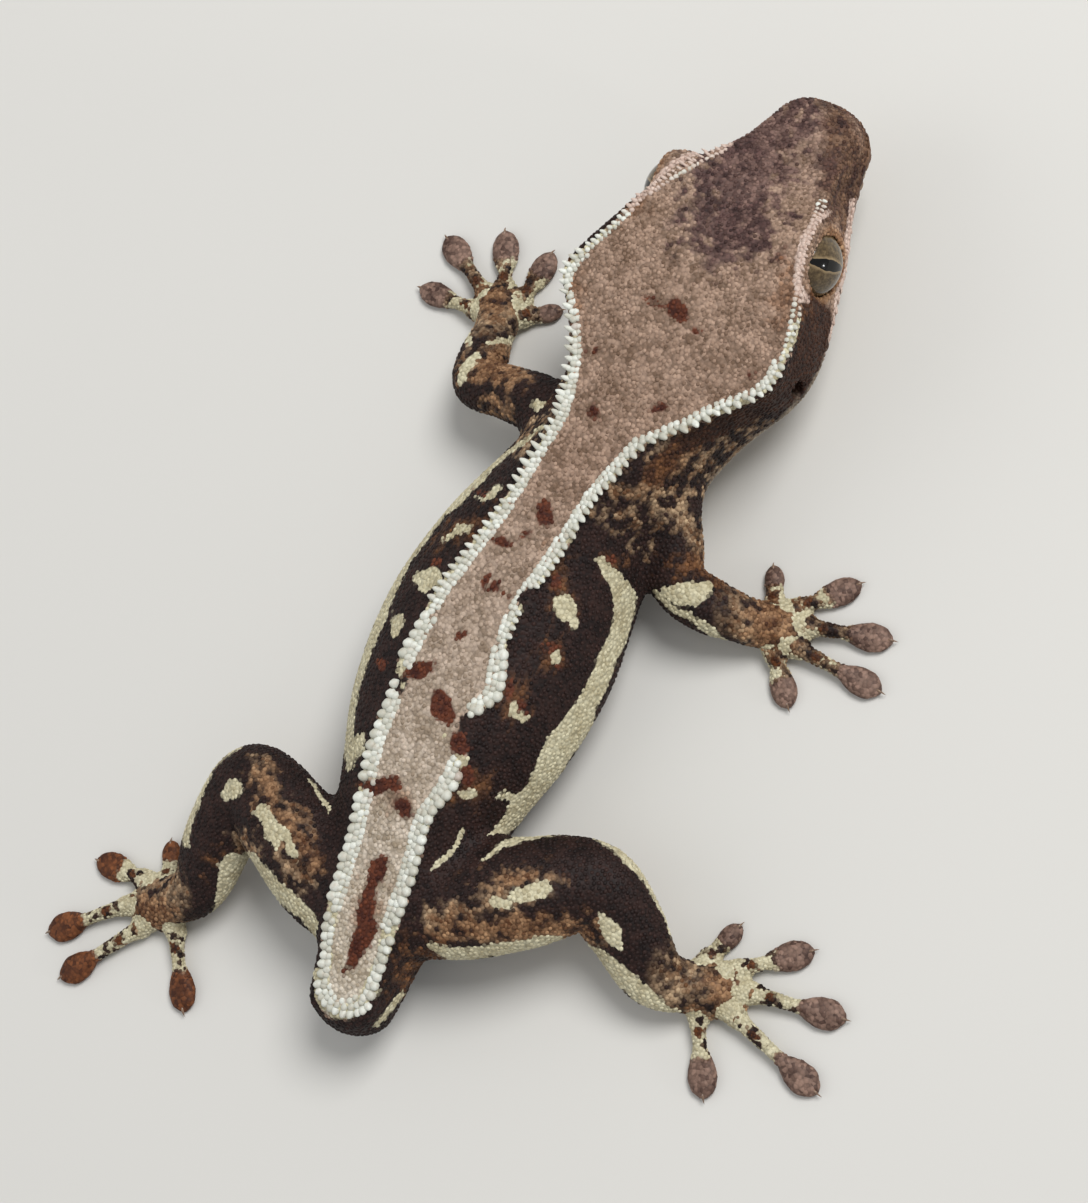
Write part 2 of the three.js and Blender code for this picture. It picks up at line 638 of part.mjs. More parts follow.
const crested = { head: skull, neck: neckBlock, torso: torsoBlock, tail_stub: stubBlock };
for (const run of crestRuns) {
  for (const piece of spinesOf(run)) {
    crested[run.node] = crested[run.node].add(piece);
  }
}
for (const sign of [1, -1]) {
  crested.head = crested.head.subtract(ball(eyeCentre(sign), eyeRadius + gap, 16, 10));
}
addNode('head', largest(crested.head), paint.dorsum);
addNode('lower_jaw', largest(jaw), paint.cream);
addNode('neck', largest(crested.neck), paint.dorsum);
addNode('torso', largest(crested.torso), paint.dorsum);
addNode('tail_stub', largest(crested.tail_stub), paint.cream);
addNode('eye_left', ball(eyeCentre(1), eyeRadius, 14, 10), paint.eye);
addNode('eye_right', ball(eyeCentre(-1), eyeRadius, 14, 10), paint.eye);

// The four limbs, each in upper part, lower part, palm and five toes.
for (const limb of limbs) {
  const { solid, sheet, root } = limbSolid(limb);
  const palm = largest(palmSolid(limb, 0).subtract(underFloor));
  const palmGrown = palmSolid(limb, gap);
  const clear = largest(solid.subtract(trunkGrown).subtract(palmGrown));
  const [upper, lower] = partBy(clear, sheet, root);
  addNode(limb.names[0], largest(upper), paint.flank);
  addNode(limb.names[1], largest(lower), paint.flank);
  addNode(limb.names[2], palm, paint.foot);
  limb.toes.forEach((toe, i) => {
    const shaped = toeSolid(toe).subtract(palmGrown).subtract(underFloor);
    addNode(`${limb.toe}_${i + 1}`, largest(shaped), paint.pad);
  });
}

gecko.position.set(centreX, centreY, 0);

export default gecko;
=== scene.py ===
import math
import random

import bpy
import numpy as np
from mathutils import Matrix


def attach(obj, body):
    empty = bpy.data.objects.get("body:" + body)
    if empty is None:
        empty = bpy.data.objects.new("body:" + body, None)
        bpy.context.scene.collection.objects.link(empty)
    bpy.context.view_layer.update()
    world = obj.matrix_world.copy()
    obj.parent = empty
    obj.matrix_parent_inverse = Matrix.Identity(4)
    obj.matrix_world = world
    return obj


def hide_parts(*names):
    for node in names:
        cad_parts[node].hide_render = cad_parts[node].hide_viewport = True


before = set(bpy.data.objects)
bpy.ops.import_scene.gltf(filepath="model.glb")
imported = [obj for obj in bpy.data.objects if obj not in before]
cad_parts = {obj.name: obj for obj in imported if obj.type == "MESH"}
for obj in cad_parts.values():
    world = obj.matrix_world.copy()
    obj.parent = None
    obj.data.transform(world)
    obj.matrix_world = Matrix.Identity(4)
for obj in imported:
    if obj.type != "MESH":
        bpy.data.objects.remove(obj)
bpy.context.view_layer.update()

import openvdb
from mathutils import Matrix, Vector, noise
from mathutils.bvhtree import BVHTree

# Sizes are millimetres on the animal's own plan, and turn to metres where a mesh is made.
# The head points along -Y, the floor is z = 0 and the animal's left is +X.
mm = 0.001
planShift = np.array([2.94, 0.0, 0.0])
chance = random.Random(11)


# The tilts and the roll are degrees. The lens is given in pixels of the picture, whose size follows it.
camera = {
    "aim": (0.0, 0.0, 8.0), "distance": 300.0, "tiltRight": 22.0, "tiltRear": 4.0, "roll": 24.5,
    "focalPixels": 2760.0, "imageWide": 1088.0, "imageTall": 1203.0, "sensor": 36.0,
    "clipNear": 0.01, "clipFar": 10.0,
}


def cameraAxes():
    right, rear = math.radians(camera["tiltRight"]), math.radians(camera["tiltRear"])
    back = np.array([-math.sin(right) * math.cos(rear), math.sin(rear), math.cos(right) * math.cos(rear)])
    back /= np.linalg.norm(back)
    ahead = np.array([0.0, -1.0, 0.0])
    up = ahead - back * (ahead @ back)
    up /= np.linalg.norm(up)
    side = np.cross(up, back)
    turn = math.radians(camera["roll"])
    return (math.cos(turn) * side + math.sin(turn) * up, math.cos(turn) * up - math.sin(turn) * side, back)


cameraSide, cameraUp, cameraBack = cameraAxes()
cameraPlace = np.array(camera["aim"]) + camera["distance"] * cameraBack


def makeCamera():
    data = bpy.data.cameras.new("camera")
    data.sensor_fit = "VERTICAL"
    data.sensor_height = camera["sensor"]
    data.lens = camera["focalPixels"] / camera["imageTall"] * camera["sensor"]
    data.clip_start, data.clip_end = camera["clipNear"], camera["clipFar"]
    obj = bpy.data.objects.new("camera", data)
    bpy.context.scene.collection.objects.link(obj)
    axes = Matrix((cameraSide, cameraUp, cameraBack)).transposed().to_4x4()
    axes.translation = Vector((cameraPlace + planShift) * mm)
    obj.matrix_world = axes
    bpy.context.scene.camera = obj


def toPicture(points):
    away = points - cameraPlace
    depth = -(away @ cameraBack)
    across = camera["imageWide"] / 2 + camera["focalPixels"] * (away @ cameraSide) / depth
    down = camera["imageTall"] / 2 - camera["focalPixels"] * (away @ cameraUp) / depth
    return across, down


makeCamera()
print("camera set")


# Stations from snout to stub: the midline, the top, the ridge beside it, the widest place and the belly.
trunk = {
    "x": [-8.6, -8.0, -7.3, -6.7, -6.1, -5.3, -4.6, -4.0, -3.4, -2.8,
          -1.8, 0.4, 2.5, 3.4, 3.6, 3.1, 2.3, 1.8, 1.4, 1.2],
    "y": [-61.8, -57.6, -52.7, -48.8, -44.8, -39.9, -34.9, -31.0, -27.0, -23.1,
          -18.0, -11.8, -3.0, 6.0, 16.0, 25.0, 33.0, 40.0, 46.0, 51.4],
    "top": [13.6, 14.3, 15.7, 17.3, 18.5, 19.3, 19.5, 19.2, 18.7, 18.2,
            17.7, 17.3, 17.1, 17.0, 16.7, 15.9, 14.5, 12.9, 11.5, 10.4],
    "crest": [3.4, 4.5, 5.8, 7.4, 8.9, 11.0, 13.0, 13.7, 10.2, 7.5,
              5.7, 4.6, 4.7, 5.0, 5.2, 4.7, 4.4, 4.1, 3.6, 3.0],
    "crestZ": [13.0, 13.8, 15.3, 17.2, 18.8, 18.9, 18.7, 18.4, 18.1, 17.7,
               17.3, 16.9, 16.6, 16.4, 16.0, 15.2, 13.9, 12.3, 10.9, 9.8],
    "half": [4.8, 5.6, 7.0, 8.8, 10.4, 12.2, 13.5, 13.1, 11.4, 10.0,
             9.4, 10.4, 12.7, 14.0, 13.0, 10.2, 8.2, 5.7, 4.8, 4.0],
    "halfZ": [9.8, 9.7, 9.4, 9.0, 8.8, 9.0, 9.5, 10.0, 10.0, 9.6,
              9.0, 8.0, 7.4, 7.2, 7.2, 7.4, 7.6, 7.4, 7.1, 6.6],
    "belly": [6.8, 6.0, 5.1, 4.5, 4.0, 3.4, 3.0, 2.9, 2.8, 2.6,
              2.2, 1.6, 1.2, 1.0, 1.0, 1.2, 1.6, 2.0, 2.6, 3.2],
}
section = {"shelfEnd": 0.3, "flankEnd": 0.58, "flankSlope": 0.35, "bellyRound": 0.85, "snoutRounding": 3.6,
           "stubRounding": 3.4}


# A smooth curve through a short table, read at any places.
def smoothAt(places, values, at):
    places, values = np.asarray(places, float), np.asarray(values, float)
    last = len(places) - 1
    index = np.arange(last + 1)
    lower, upper = np.clip(index - 1, 0, last), np.clip(index + 1, 0, last)
    slope = (values[upper] - values[lower]) / (places[upper] - places[lower])
    i = np.clip(np.searchsorted(places, at, side="right") - 1, 0, last - 1)
    span = places[i + 1] - places[i]
    t = np.clip((at - places[i]) / span, 0, 1)
    return ((2 * t**3 - 3 * t**2 + 1) * values[i] + (t**3 - 2 * t**2 + t) * span * slope[i]
            + (3 * t**2 - 2 * t**3) * values[i + 1] + (t**3 - t**2) * span * slope[i + 1])


stationAt = np.concatenate([[0], np.cumsum(np.hypot(np.diff(trunk["x"]), np.diff(trunk["y"])))])
trunkLength = stationAt[-1]
ringStep = 0.25
ringAt = np.arange(0, trunkLength + ringStep, ringStep).clip(0, trunkLength)
ring = {key: smoothAt(stationAt, values, ringAt) for key, values in trunk.items()}
headX, headY = np.gradient(ring["x"]), np.gradient(ring["y"])
headLength = np.hypot(headX, headY) + 1e-9
ring["headX"], ring["headY"] = headX / headLength, headY / headLength
turnSteps = 121
angleSteps = 121
angleGrid = np.linspace(0, math.pi, angleSteps)


# One side of a cross-section from the top of the back to the middle of the belly.
def sectionOutline(i):
    turn = np.linspace(0, 1, turnSteps)
    shelf, flank, slope = section["shelfEnd"], section["flankEnd"], section["flankSlope"]
    crest, half = ring["crest"][i], ring["half"][i]
    top, crestZ, halfZ, belly = ring["top"][i], ring["crestZ"][i], ring["halfZ"][i], ring["belly"][i]
    a = np.clip(turn / shelf, 0, 1)
    b = np.clip((turn - shelf) / (flank - shelf), 0, 1)
    c = np.clip((turn - flank) / (1 - flank), 0, 1) * math.pi / 2
    outward = (1 - slope) * np.sin(b * math.pi / 2) + slope * b
    downward = (1 - slope) * (1 - np.cos(b * math.pi / 2)) + slope * b
    across = np.where(turn <= shelf, crest * a, crest + (half - crest) * outward)
    height = np.where(turn <= shelf, top - (top - crestZ) * a**2, crestZ - (crestZ - halfZ) * downward)
    across = np.where(turn > flank, half * np.cos(c).clip(0)**section["bellyRound"], across)
    height = np.where(turn > flank, halfZ - (halfZ - belly) * np.sin(c)**section["bellyRound"], height)
    return across, height


# The outline seen from the section's middle, and the length along it, both by angle.
def sectionTables():
    reach = np.zeros((len(ringAt), angleSteps))
    girth = np.zeros((len(ringAt), angleSteps))
    for i in range(len(ringAt)):
        across, height = sectionOutline(i)
        height = height - ring["halfZ"][i]
        angle = np.arctan2(across, height)
        length = np.concatenate([[0], np.cumsum(np.hypot(np.diff(across), np.diff(height)))])
        reach[i] = np.interp(angleGrid, angle, np.hypot(across, height))
        girth[i] = np.interp(angleGrid, angle, length)
    front = np.clip(ringAt / section["snoutRounding"], 0, 1)
    back = np.clip((trunkLength - ringAt) / section["stubRounding"], 0, 1)
    share = np.sqrt(1 - (1 - front)**2) * np.sqrt(1 - (1 - back)**2)
    return reach * share[:, None], girth


sectionReach, sectionGirth = sectionTables()


def lookUp(table, at, angle):
    rim = 1.001  # keeps the last row and column inside the table
    row = np.clip(at / ringStep, 0, len(ringAt) - rim)
    column = np.clip(angle / math.pi * (angleSteps - 1), 0, angleSteps - rim)
    i, j = row.astype(int), column.astype(int)
    u, v = row - i, column - j
    return ((1 - u) * ((1 - v) * table[i, j] + v * table[i, j + 1])
            + u * ((1 - v) * table[i + 1, j] + v * table[i + 1, j + 1]))


def ringValue(key, at):
    return np.interp(at, ringAt, ring[key])


def fromSpine(x, y, at):
    return x - ringValue("x", at), y - ringValue("y", at), ringValue("headX", at), ringValue("headY", at)


# Place of points along the spine, aside of it (left positive), and past its two ends.
def spineCoords(x, y):
    at = np.interp(y, ring["y"], ringAt)
    for _ in range(3):
        dx, dy, hx, hy = fromSpine(x, y, at)
        at = np.clip(at + dx * hx + dy * hy, 0, trunkLength)
    dx, dy, hx, hy = fromSpine(x, y, at)
    return at, dx * hy - dy * hx, dx * hx + dy * hy


def gauss(distance, width):
    return np.exp(-(distance / width)**2)


# Each eye sits where the photo shows it. The left and right lids open toward their own gaze, in degrees.
eye = {"along": 17.2, "asideLeft": 9.2, "asideRight": 7.4, "height": 13.7, "radius": 4.0, "rim": 3.5,
       "rimThick": 0.27, "mound": 0.6, "window": 3.35, "windowFrom": 0.6, "trim": 1.75, "trimMore": 0.3,
       "trimTall": 0.75, "ballGap": 0.03, "moundBlend": 1.6, "rimBlend": 0.8,
       "up": {"left": 4.0, "right": 20.0}, "forward": {"left": -16.0, "right": 10.0}}
mouth = {"places": [-4, 0, 13.5, 24.5], "heights": [9.1, 9.1, 8.0, 8.6], "end": 24.5, "fade": 0.35,
         "deep": 0.42,
         "wide": 0.3, "lip": 0.16, "upperLip": (0.85, 0.55), "lowerLip": (-0.8, 0.5)}
nostril = {"along": 1.7, "aside": 2.9, "height": 12.2, "radius": 0.5, "swell": 0.22, "swellWide": 1.1}
ear = {"along": 29.0, "aside": 12.9, "height": 11.2, "size": (1.5, 0.9, 1.8)}
# The ridge under the crest stands out more over the eyes and less on the snout.
ridge = {"high": 0.28, "wide": 0.85, "atEye": (0.3, 16.5, 5), "atSnout": (0.2, 3, 6)}
# Swellings and hollows of the head: height, then the middle and the width along, aside and up.
headForms = [
    {"high": -0.55, "along": (9.0, 3.2), "aside": (6.2, 1.6), "up": (12.6, 1.5)},  # hollow before the eye
    {"high": -0.4, "along": (14.0, 5), "aside": (0, 3.0), "above": 14},            # dip between the brows
    {"high": 0.45, "along": (25.0, 4), "aside": (8, 3.0), "above": 14},            # jaw muscle on the crown
    {"high": 0.35, "along": (25.5, 3), "up": (12.5, 2.5), "outside": 9},           # cheek
]


def beside(at, aside, height):
    at = np.asarray(at, float)
    x = ringValue("x", at) + aside * ringValue("headY", at)
    y = ringValue("y", at) - aside * ringValue("headX", at)
    return np.stack(np.broadcast_arrays(x, y, height), -1)


# Which way an eye looks. Sign is 1 for the left eye and -1 for the right one.
def eyeGaze(sign, raised=0.0):
    name = "left" if sign > 0 else "right"
    up, forward = math.radians(eye["up"][name] + raised), math.radians(eye["forward"][name])
    hx, hy = ringValue("headX", eye["along"]), ringValue("headY", eye["along"])
    side = np.array([hy, -hx, 0.0])
    gaze = sign * math.cos(up) * math.cos(forward) * side
    gaze -= math.cos(up) * math.sin(forward) * np.array([hx, hy, 0.0])
    return gaze + np.array([0, 0, math.sin(up)])


def eyeCentre(sign):
    return beside(eye["along"], eye["asideLeft"] if sign > 0 else -eye["asideRight"], eye["height"])


# Distance-like field of the trunk with its ridges, lips and hollows: negative inside.
def trunkField(x, y, z):
    at, aside, over = spineCoords(x, y)
    lift = z - ringValue("halfZ", at)
    radius = np.hypot(aside, lift)
    angle = np.arctan2(np.abs(aside), lift)
    field = radius - lookUp(sectionReach, at, angle)
    field = np.where((np.abs(over) > 0.05) & ((at <= 0) | (at >= trunkLength)), np.hypot(radius, over), field)
    return field, at, aside


def trunkRelief(at, aside, z):
    wide = np.abs(aside)
    crest, crestZ = ringValue("crest", at), ringValue("crestZ", at)
    eyeRise, eyeAt, eyeWide = ridge["atEye"]
    snoutFall, snoutAt, snoutWide = ridge["atSnout"]
    high = ridge["high"] + eyeRise * gauss(at - eyeAt, eyeWide) - snoutFall * gauss(at - snoutAt, snoutWide)
    relief = high * np.exp(-((wide - crest)**2 + (z - crestZ)**2) / ridge["wide"]**2)
    parted = 1 / (1 + np.exp((at - mouth["end"]) / mouth["fade"]))
    gap = z - smoothAt(mouth["places"], mouth["heights"], at)
    relief -= mouth["deep"] * gauss(gap, mouth["wide"]) * parted
    (upperAt, upperWide), (lowerAt, lowerWide) = mouth["upperLip"], mouth["lowerLip"]
    relief += mouth["lip"] * (gauss(gap - upperAt, upperWide) + gauss(gap - lowerAt, lowerWide)) * parted
    for form in headForms:
        power = 0
        for key, value in (("along", at), ("aside", wide), ("up", z)):
            if key in form:
                power = power - ((value - form[key][0]) / form[key][1])**2
        kept = (z > form.get("above", -99)) & (wide > form.get("outside", -99))
        relief += form["high"] * np.exp(power) * kept
    return relief


# Each limb is a path with its half widths and half heights, then a palm and five toes with their pads.
limbs = {
    "armLeft": {
        "path": [(2.5, -18.0, 9.0), (8.5, -19.6, 9.4), (14.2, -19.9, 8.2), (18.6, -20.0, 6.9),
                 (20.3, -23.4, 4.9), (21.3, -27.0, 3.2), (22.6, -29.4, 2.0)],
        "wide": [3.4, 3.4, 3.0, 2.9, 2.8, 2.2, 1.8], "tall": [3.2, 3.1, 2.7, 2.5, 2.3, 1.6, 1.2],
        "wrist": (21.5, -27.4), "hub": (22.7, -29.8),
        "bases": [(19.6, -29.6), (20.6, -31.4), (23.1, -31.8), (25.0, -30.6), (25.2, -28.4)],
        "tips": [(15.8, -32.1), (19.9, -38.0), (26.6, -38.5), (33.2, -35.4), (33.6, -28.7)],
        "pads": [1.15, 1.55, 1.65, 1.65, 1.5],
        "nodes": ["upper_arm_left", "forearm_left", "hand_left"], "toes": "finger_left",
    },
    "armRight": {
        "path": [(-2.5, -17.0, 9.0), (-7.8, -15.6, 9.2), (-10.8, -11.6, 8.0), (-12.9, -7.6, 6.8),
                 (-16.6, -6.7, 5.2), (-20.6, -7.0, 3.4), (-23.2, -7.6, 2.0)],
        "wide": [3.4, 3.4, 3.1, 3.0, 3.0, 2.4, 1.8], "tall": [3.2, 3.1, 2.7, 2.5, 2.3, 1.7, 1.2],
        "wrist": (-21.0, -7.0), "hub": (-23.7, -7.8),
        "bases": [(-21.8, -10.2), (-24.6, -10.6), (-26.4, -9.1), (-26.2, -6.5), (-24.1, -5.0)],
        "tips": [(-19.8, -13.9), (-29.7, -15.7), (-35.5, -11.2), (-36.6, -5.6), (-27.9, -0.2)],
        "pads": [1.15, 1.55, 1.65, 1.65, 1.5],
        "nodes": ["upper_arm_right", "forearm_right", "hand_right"], "toes": "finger_right",
    },
    "legLeft": {
        "path": [(1.0, 38.0, 8.4), (8.4, 37.2, 8.8), (15.6, 33.9, 9.2), (22.4, 31.3, 8.4),
                 (24.4, 37.8, 6.4), (25.4, 44.6, 3.9), (30.0, 48.4, 2.0)],
        "wide": [4.6, 5.7, 5.5, 4.4, 4.2, 3.2, 2.2], "tall": [3.8, 4.4, 4.2, 3.4, 3.0, 2.0, 1.3],
        "wrist": (26.4, 45.2), "hub": (30.2, 48.0),
        "bases": [(30.6, 45.2), (33.4, 46.6), (34.0, 50.2), (31.2, 51.8), (26.9, 50.4)],
        "tips": [(32.6, 41.4), (40.3, 47.1), (42.1, 57.1), (38.2, 61.1), (22.1, 58.1)],
        "pads": [1.2, 1.65, 1.75, 1.75, 1.65],
        "nodes": ["thigh_left", "shin_left", "foot_left"], "toes": "toe_left",
    },
    "legRight": {
        "path": [(3.0, 36.0, 8.4), (-4.2, 33.8, 8.8), (-11.6, 29.8, 9.2), (-18.6, 25.7, 8.4),
                 (-22.8, 28.0, 6.4), (-27.6, 31.7, 3.9), (-32.4, 31.0, 2.0)],
        "wide": [4.6, 6.2, 6.0, 4.7, 4.3, 3.3, 2.2], "tall": [3.8, 4.4, 4.2, 3.4, 3.0, 2.0, 1.3],
        "wrist": (-28.4, 31.6), "hub": (-33.2, 30.3),
        "bases": [(-31.3, 27.7), (-34.8, 27.4), (-37.2, 29.0), (-36.6, 32.0), (-32.8, 33.6)],
        "tips": [(-32.9, 23.0), (-41.3, 22.2), (-47.4, 27.4), (-47.8, 35.6), (-36.9, 41.3)],
        "pads": [1.2, 1.65, 1.75, 1.75, 1.65],
        "nodes": ["thigh_right", "shin_right", "foot_right"], "toes": "toe_right",
    },
}
toeShape = {"sink": 1.6, "padLength": 4.4, "padShare": 0.62, "from": 0.04, "to": 0.97, "endRound": 5,
            "endMin": 0.25,
            "wide": (0.95, 0.8, 0.74), "tall": (0.95, 0.85, 0.75, 0.72, 0.72, 0.5),
            "lift": (1.5, 1.25, 0.95, 0.7, 0.55, 0.45), "steps": 15}
palmShape = {"wristLift": 2.4, "hubLift": 1.5, "wide": (2.2, 2.1), "tall": (1.7, 1.2),
             "rayWide": (1.7, 1.15), "rayTall": (1.1, 0.85), "rayLift": 0.95}
blendWidth = {"limb": 2.2, "palm": 1.2, "toe": 0.7}
limbSteps = 48


# Sample points of a limb with half width and half height, from its short tables.
def limbSamples(limb):
    path = np.array(limb["path"])
    spans = np.concatenate([[0], np.cumsum(np.linalg.norm(np.diff(path, axis=0), axis=1))])
    at = np.linspace(0, spans[-1], limbSteps)
    points = np.stack([smoothAt(spans, path[:, i], at) for i in range(3)], 1)
    return points, smoothAt(spans, limb["wide"], at), smoothAt(spans, limb["tall"], at)


def toeSamples(base, tip, pad):
    flat = np.array(tip) - np.array(base)
    length = np.hypot(*flat)
    heading = flat / length
    share = min(toeShape["padShare"], toeShape["padLength"] / length)
    places = [0, 0.3, 1 - share, 1 - share * 0.72, 1 - share * 0.38, 1]
    v = np.linspace(toeShape["from"], toeShape["to"], toeShape["steps"])
    wide = smoothAt(places, [*toeShape["wide"], pad * 0.82, pad, 0.45], v)
    tall, lift = smoothAt(places, toeShape["tall"], v), smoothAt(places, toeShape["lift"], v)
    along = -toeShape["sink"] + v * (length + toeShape["sink"])
    end = np.clip((1 - v) * toeShape["endRound"], 0, 1)
    wide = wide * np.sqrt(1 - (1 - end)**2).clip(toeShape["endMin"])
    return np.column_stack([base[0] + heading[0] * along, base[1] + heading[1] * along, lift]), wide, tall


def toesOf(limb):
    return zip(limb["bases"], limb["tips"], limb["pads"])


# Field of a chain of flattened round cones, with the place of the nearest sample.
def chainField(x, y, z, points, wide, tall):
    best = np.full(x.shape, 1000, np.float32)
    where = np.zeros(x.shape, np.float32)
    for i in range(len(points) - 1):
        a, b = points[i], points[i + 1]
        step = b - a
        size = step @ step
        t = np.clip(((x - a[0]) * step[0] + (y - a[1]) * step[1] + (z - a[2]) * step[2]) / size, 0, 1)
        w = wide[i] + (wide[i + 1] - wide[i]) * t
        h = tall[i] + (tall[i + 1] - tall[i]) * t
        dx, dy, dz = x - a[0] - step[0] * t, y - a[1] - step[1] * t, z - a[2] - step[2] * t
        scale = w / h
        d = (np.sqrt(dx**2 + dy**2 + (dz * scale)**2) - w) / np.sqrt(scale)
        closer = d < best
        best = np.where(closer, d, best)
        where = np.where(closer, i + t, where)
    return best, where


# Joins two fields with a fillet of about the given width.
def blendFields(a, b, width):
    mix = np.clip(width - np.abs(a - b), 0, None) / width
    return np.minimum(a, b) - mix**2 * width / 4


voxel = 0.26
margin = 3.0
steepness = (0.35, 4)
skinGrid = {"low": np.array([-51.0, -66.0, -1.5]), "high": np.array([46.0, 65.0, 22.5])}
trunkBox = ((-23, -64, -1), (21, 55, 22))
headBox = ((-23, -56, 5), (11, -36, 22))
gridCount = np.ceil((skinGrid["high"] - skinGrid["low"]) / voxel).astype(int) + 1


# The part of the grid between two corners, with the places of its points.
def gridRange(low, high):
    first = np.clip(np.floor((np.array(low) - skinGrid["low"]) / voxel).astype(int), 0, gridCount - 2)
    last = np.clip(np.ceil((np.array(high) - skinGrid["low"]) / voxel).astype(int) + 1, 2, gridCount)
    axes = [skinGrid["low"][k] + voxel * np.arange(first[k], last[k]) for k in range(3)]
    x, y, z = np.meshgrid(*axes, indexing="ij", sparse=True)
    shape = tuple(last - first)
    slices = tuple(slice(first[k], last[k]) for k in range(3))
    return slices, [np.broadcast_to(v, shape).astype(np.float32) for v in (x, y, z)]


# Scales a field so that it grows by about one millimetre a millimetre.
def evenOut(field):
    steep = np.sqrt(sum(g**2 for g in np.gradient(field, voxel)))
    return field / np.clip(steep, *steepness)


def placeHeadHoles(field, x, y, z):
    for sign in (1, -1):
        place = beside(nostril["along"], sign * nostril["aside"], nostril["height"])
        reach = np.sqrt((x - place[0])**2 + (y - place[1])**2 + (z - place[2])**2)
        field = field - nostril["swell"] * gauss(reach, nostril["swellWide"])
        field = np.maximum(field, -(reach - nostril["radius"]))
        place = beside(ear["along"], sign * ear["aside"], ear["height"])
        wide, long, tall = ear["size"]
        reach = np.sqrt(((x - place[0]) / wide)**2 + ((y - place[1]) / long)**2 + ((z - place[2]) / tall)**2)
        field = np.maximum(field, -(reach - 1) * long)
    return field


def placePalm(whole, limb):
    flat = np.array(limb["bases"] + [limb["wrist"], limb["hub"]])
    box, (x, y, z) = gridRange((*(flat.min(0) - 4), -1), (*(flat.max(0) + 4), 6))
    hub = np.array([*limb["hub"], palmShape["hubLift"]])
    wrist = (*limb["wrist"], palmShape["wristLift"])
    palm, _ = chainField(x, y, z, np.array([wrist, hub]), palmShape["wide"], palmShape["tall"])
    for base in limb["bases"]:
        ends = np.array([hub, (*base, palmShape["rayLift"])])
        ray, _ = chainField(x, y, z, ends, palmShape["rayWide"], palmShape["rayTall"])
        palm = blendFields(palm, ray, blendWidth["palm"])
    whole[box] = blendFields(whole[box], palm, blendWidth["palm"])


# Cuts a window for the eye, then lays a low mound and a thick rim around the ball.
def placeEyelids(field, x, y, z, sign):
    centre, gaze = eyeCentre(sign), eyeGaze(sign)
    dx, dy, dz = x - centre[0], y - centre[1], z - centre[2]
    out = dx * gaze[0] + dy * gaze[1] + dz * gaze[2]
    flat = np.sqrt(np.clip(dx**2 + dy**2 + dz**2 - out**2, 0, None))
    depth = math.sqrt(eye["radius"]**2 - eye["rim"]**2)
    reach = np.sqrt(dx**2 + dy**2 + dz**2)
    outward = dx * math.copysign(1, gaze[0])
    window = np.maximum(np.hypot(dy, dz) - eye["window"], eye["windowFrom"] - outward)
    field = np.maximum(field, -window)
    if sign < 0:  # the right brow hangs less far over its eye
        trim = np.hypot(dy, dz * eye["trimTall"]) - eye["window"] - eye["trimMore"]
        field = np.maximum(field, -np.maximum(trim, eye["trim"] - outward))
    mound = np.maximum(reach - eye["radius"] - eye["mound"], out - depth)
    field = blendFields(field, mound, eye["moundBlend"])
    rim = np.hypot(flat - eye["rim"], out - depth) - eye["rimThick"]
    field = blendFields(field, rim, eye["rimBlend"])
    return np.maximum(field, -(reach - (eye["radius"] + eye["ballGap"])))


def makeField():
    whole = np.full(tuple(gridCount), margin, np.float32)
    box, (x, y, z) = gridRange(*trunkBox)
    field, at, aside = trunkField(x, y, z)
    field = placeHeadHoles(evenOut(field) - trunkRelief(at, aside, z), x, y, z)
    whole[box] = np.clip(field, -margin, margin)
    print("trunk field", whole.shape)
    for limb in limbs.values():
        points, wide, tall = limbSamples(limb)
        fat = wide[:, None] + 2.6
        box, (x, y, z) = gridRange((points - fat).min(0), (points + fat).max(0))
        part, _ = chainField(x, y, z, points, wide, tall)
        whole[box] = blendFields(whole[box], evenOut(part), blendWidth["limb"])
    for limb in limbs.values():
        placePalm(whole, limb)
    for limb in limbs.values():
        for base, tip, pad in toesOf(limb):
            points, wide, tall = toeSamples(base, tip, pad)
            box, (x, y, z) = gridRange((points - 3).min(0), (points + 3).max(0))
            part, _ = chainField(x, y, z, points, wide, tall)
            whole[box] = blendFields(whole[box], part, blendWidth["toe"])
    box, (x, y, z) = gridRange(*headBox)
    for sign in (1, -1):
        whole[box] = placeEyelids(whole[box], x, y, z, sign)
    low = skinGrid["low"][2] + voxel * np.arange(gridCount[2])
    return np.maximum(whole, -low[None, None, :].astype(np.float32))


# Moves each point toward the mean of its neighbours.
def relax(points, edges, rounds, share):
    count = np.bincount(edges.ravel(), minlength=len(points))[:, None]
    for _ in range(rounds):
        total = np.zeros_like(points)
        for axis in range(3):
            total[:, axis] = np.bincount(edges[:, 0], points[edges[:, 1], axis], len(points))
            total[:, axis] += np.bincount(edges[:, 1], points[edges[:, 0], axis], len(points))
        points = points + share * (total / np.maximum(count, 1) - points)
    return points


def meshFrom(name, points, faces):
    mesh = bpy.data.meshes.new(name)
    mesh.from_pydata([tuple(p) for p in (np.asarray(points) + planShift) * mm], [], [tuple(f) for f in faces])
    mesh.validate()
    mesh.update()
    obj = bpy.data.objects.new(name, mesh)
    bpy.context.scene.collection.objects.link(obj)
    mesh.polygons.foreach_set("use_smooth", [True] * len(mesh.polygons))
    return obj


def applyModifiers(obj):
    bpy.context.view_layer.update()
    graph = bpy.context.evaluated_depsgraph_get()
    mesh = bpy.data.meshes.new_from_object(obj.evaluated_get(graph))
    obj.modifiers.clear()
    obj.data = mesh


skinTriangles = 260000


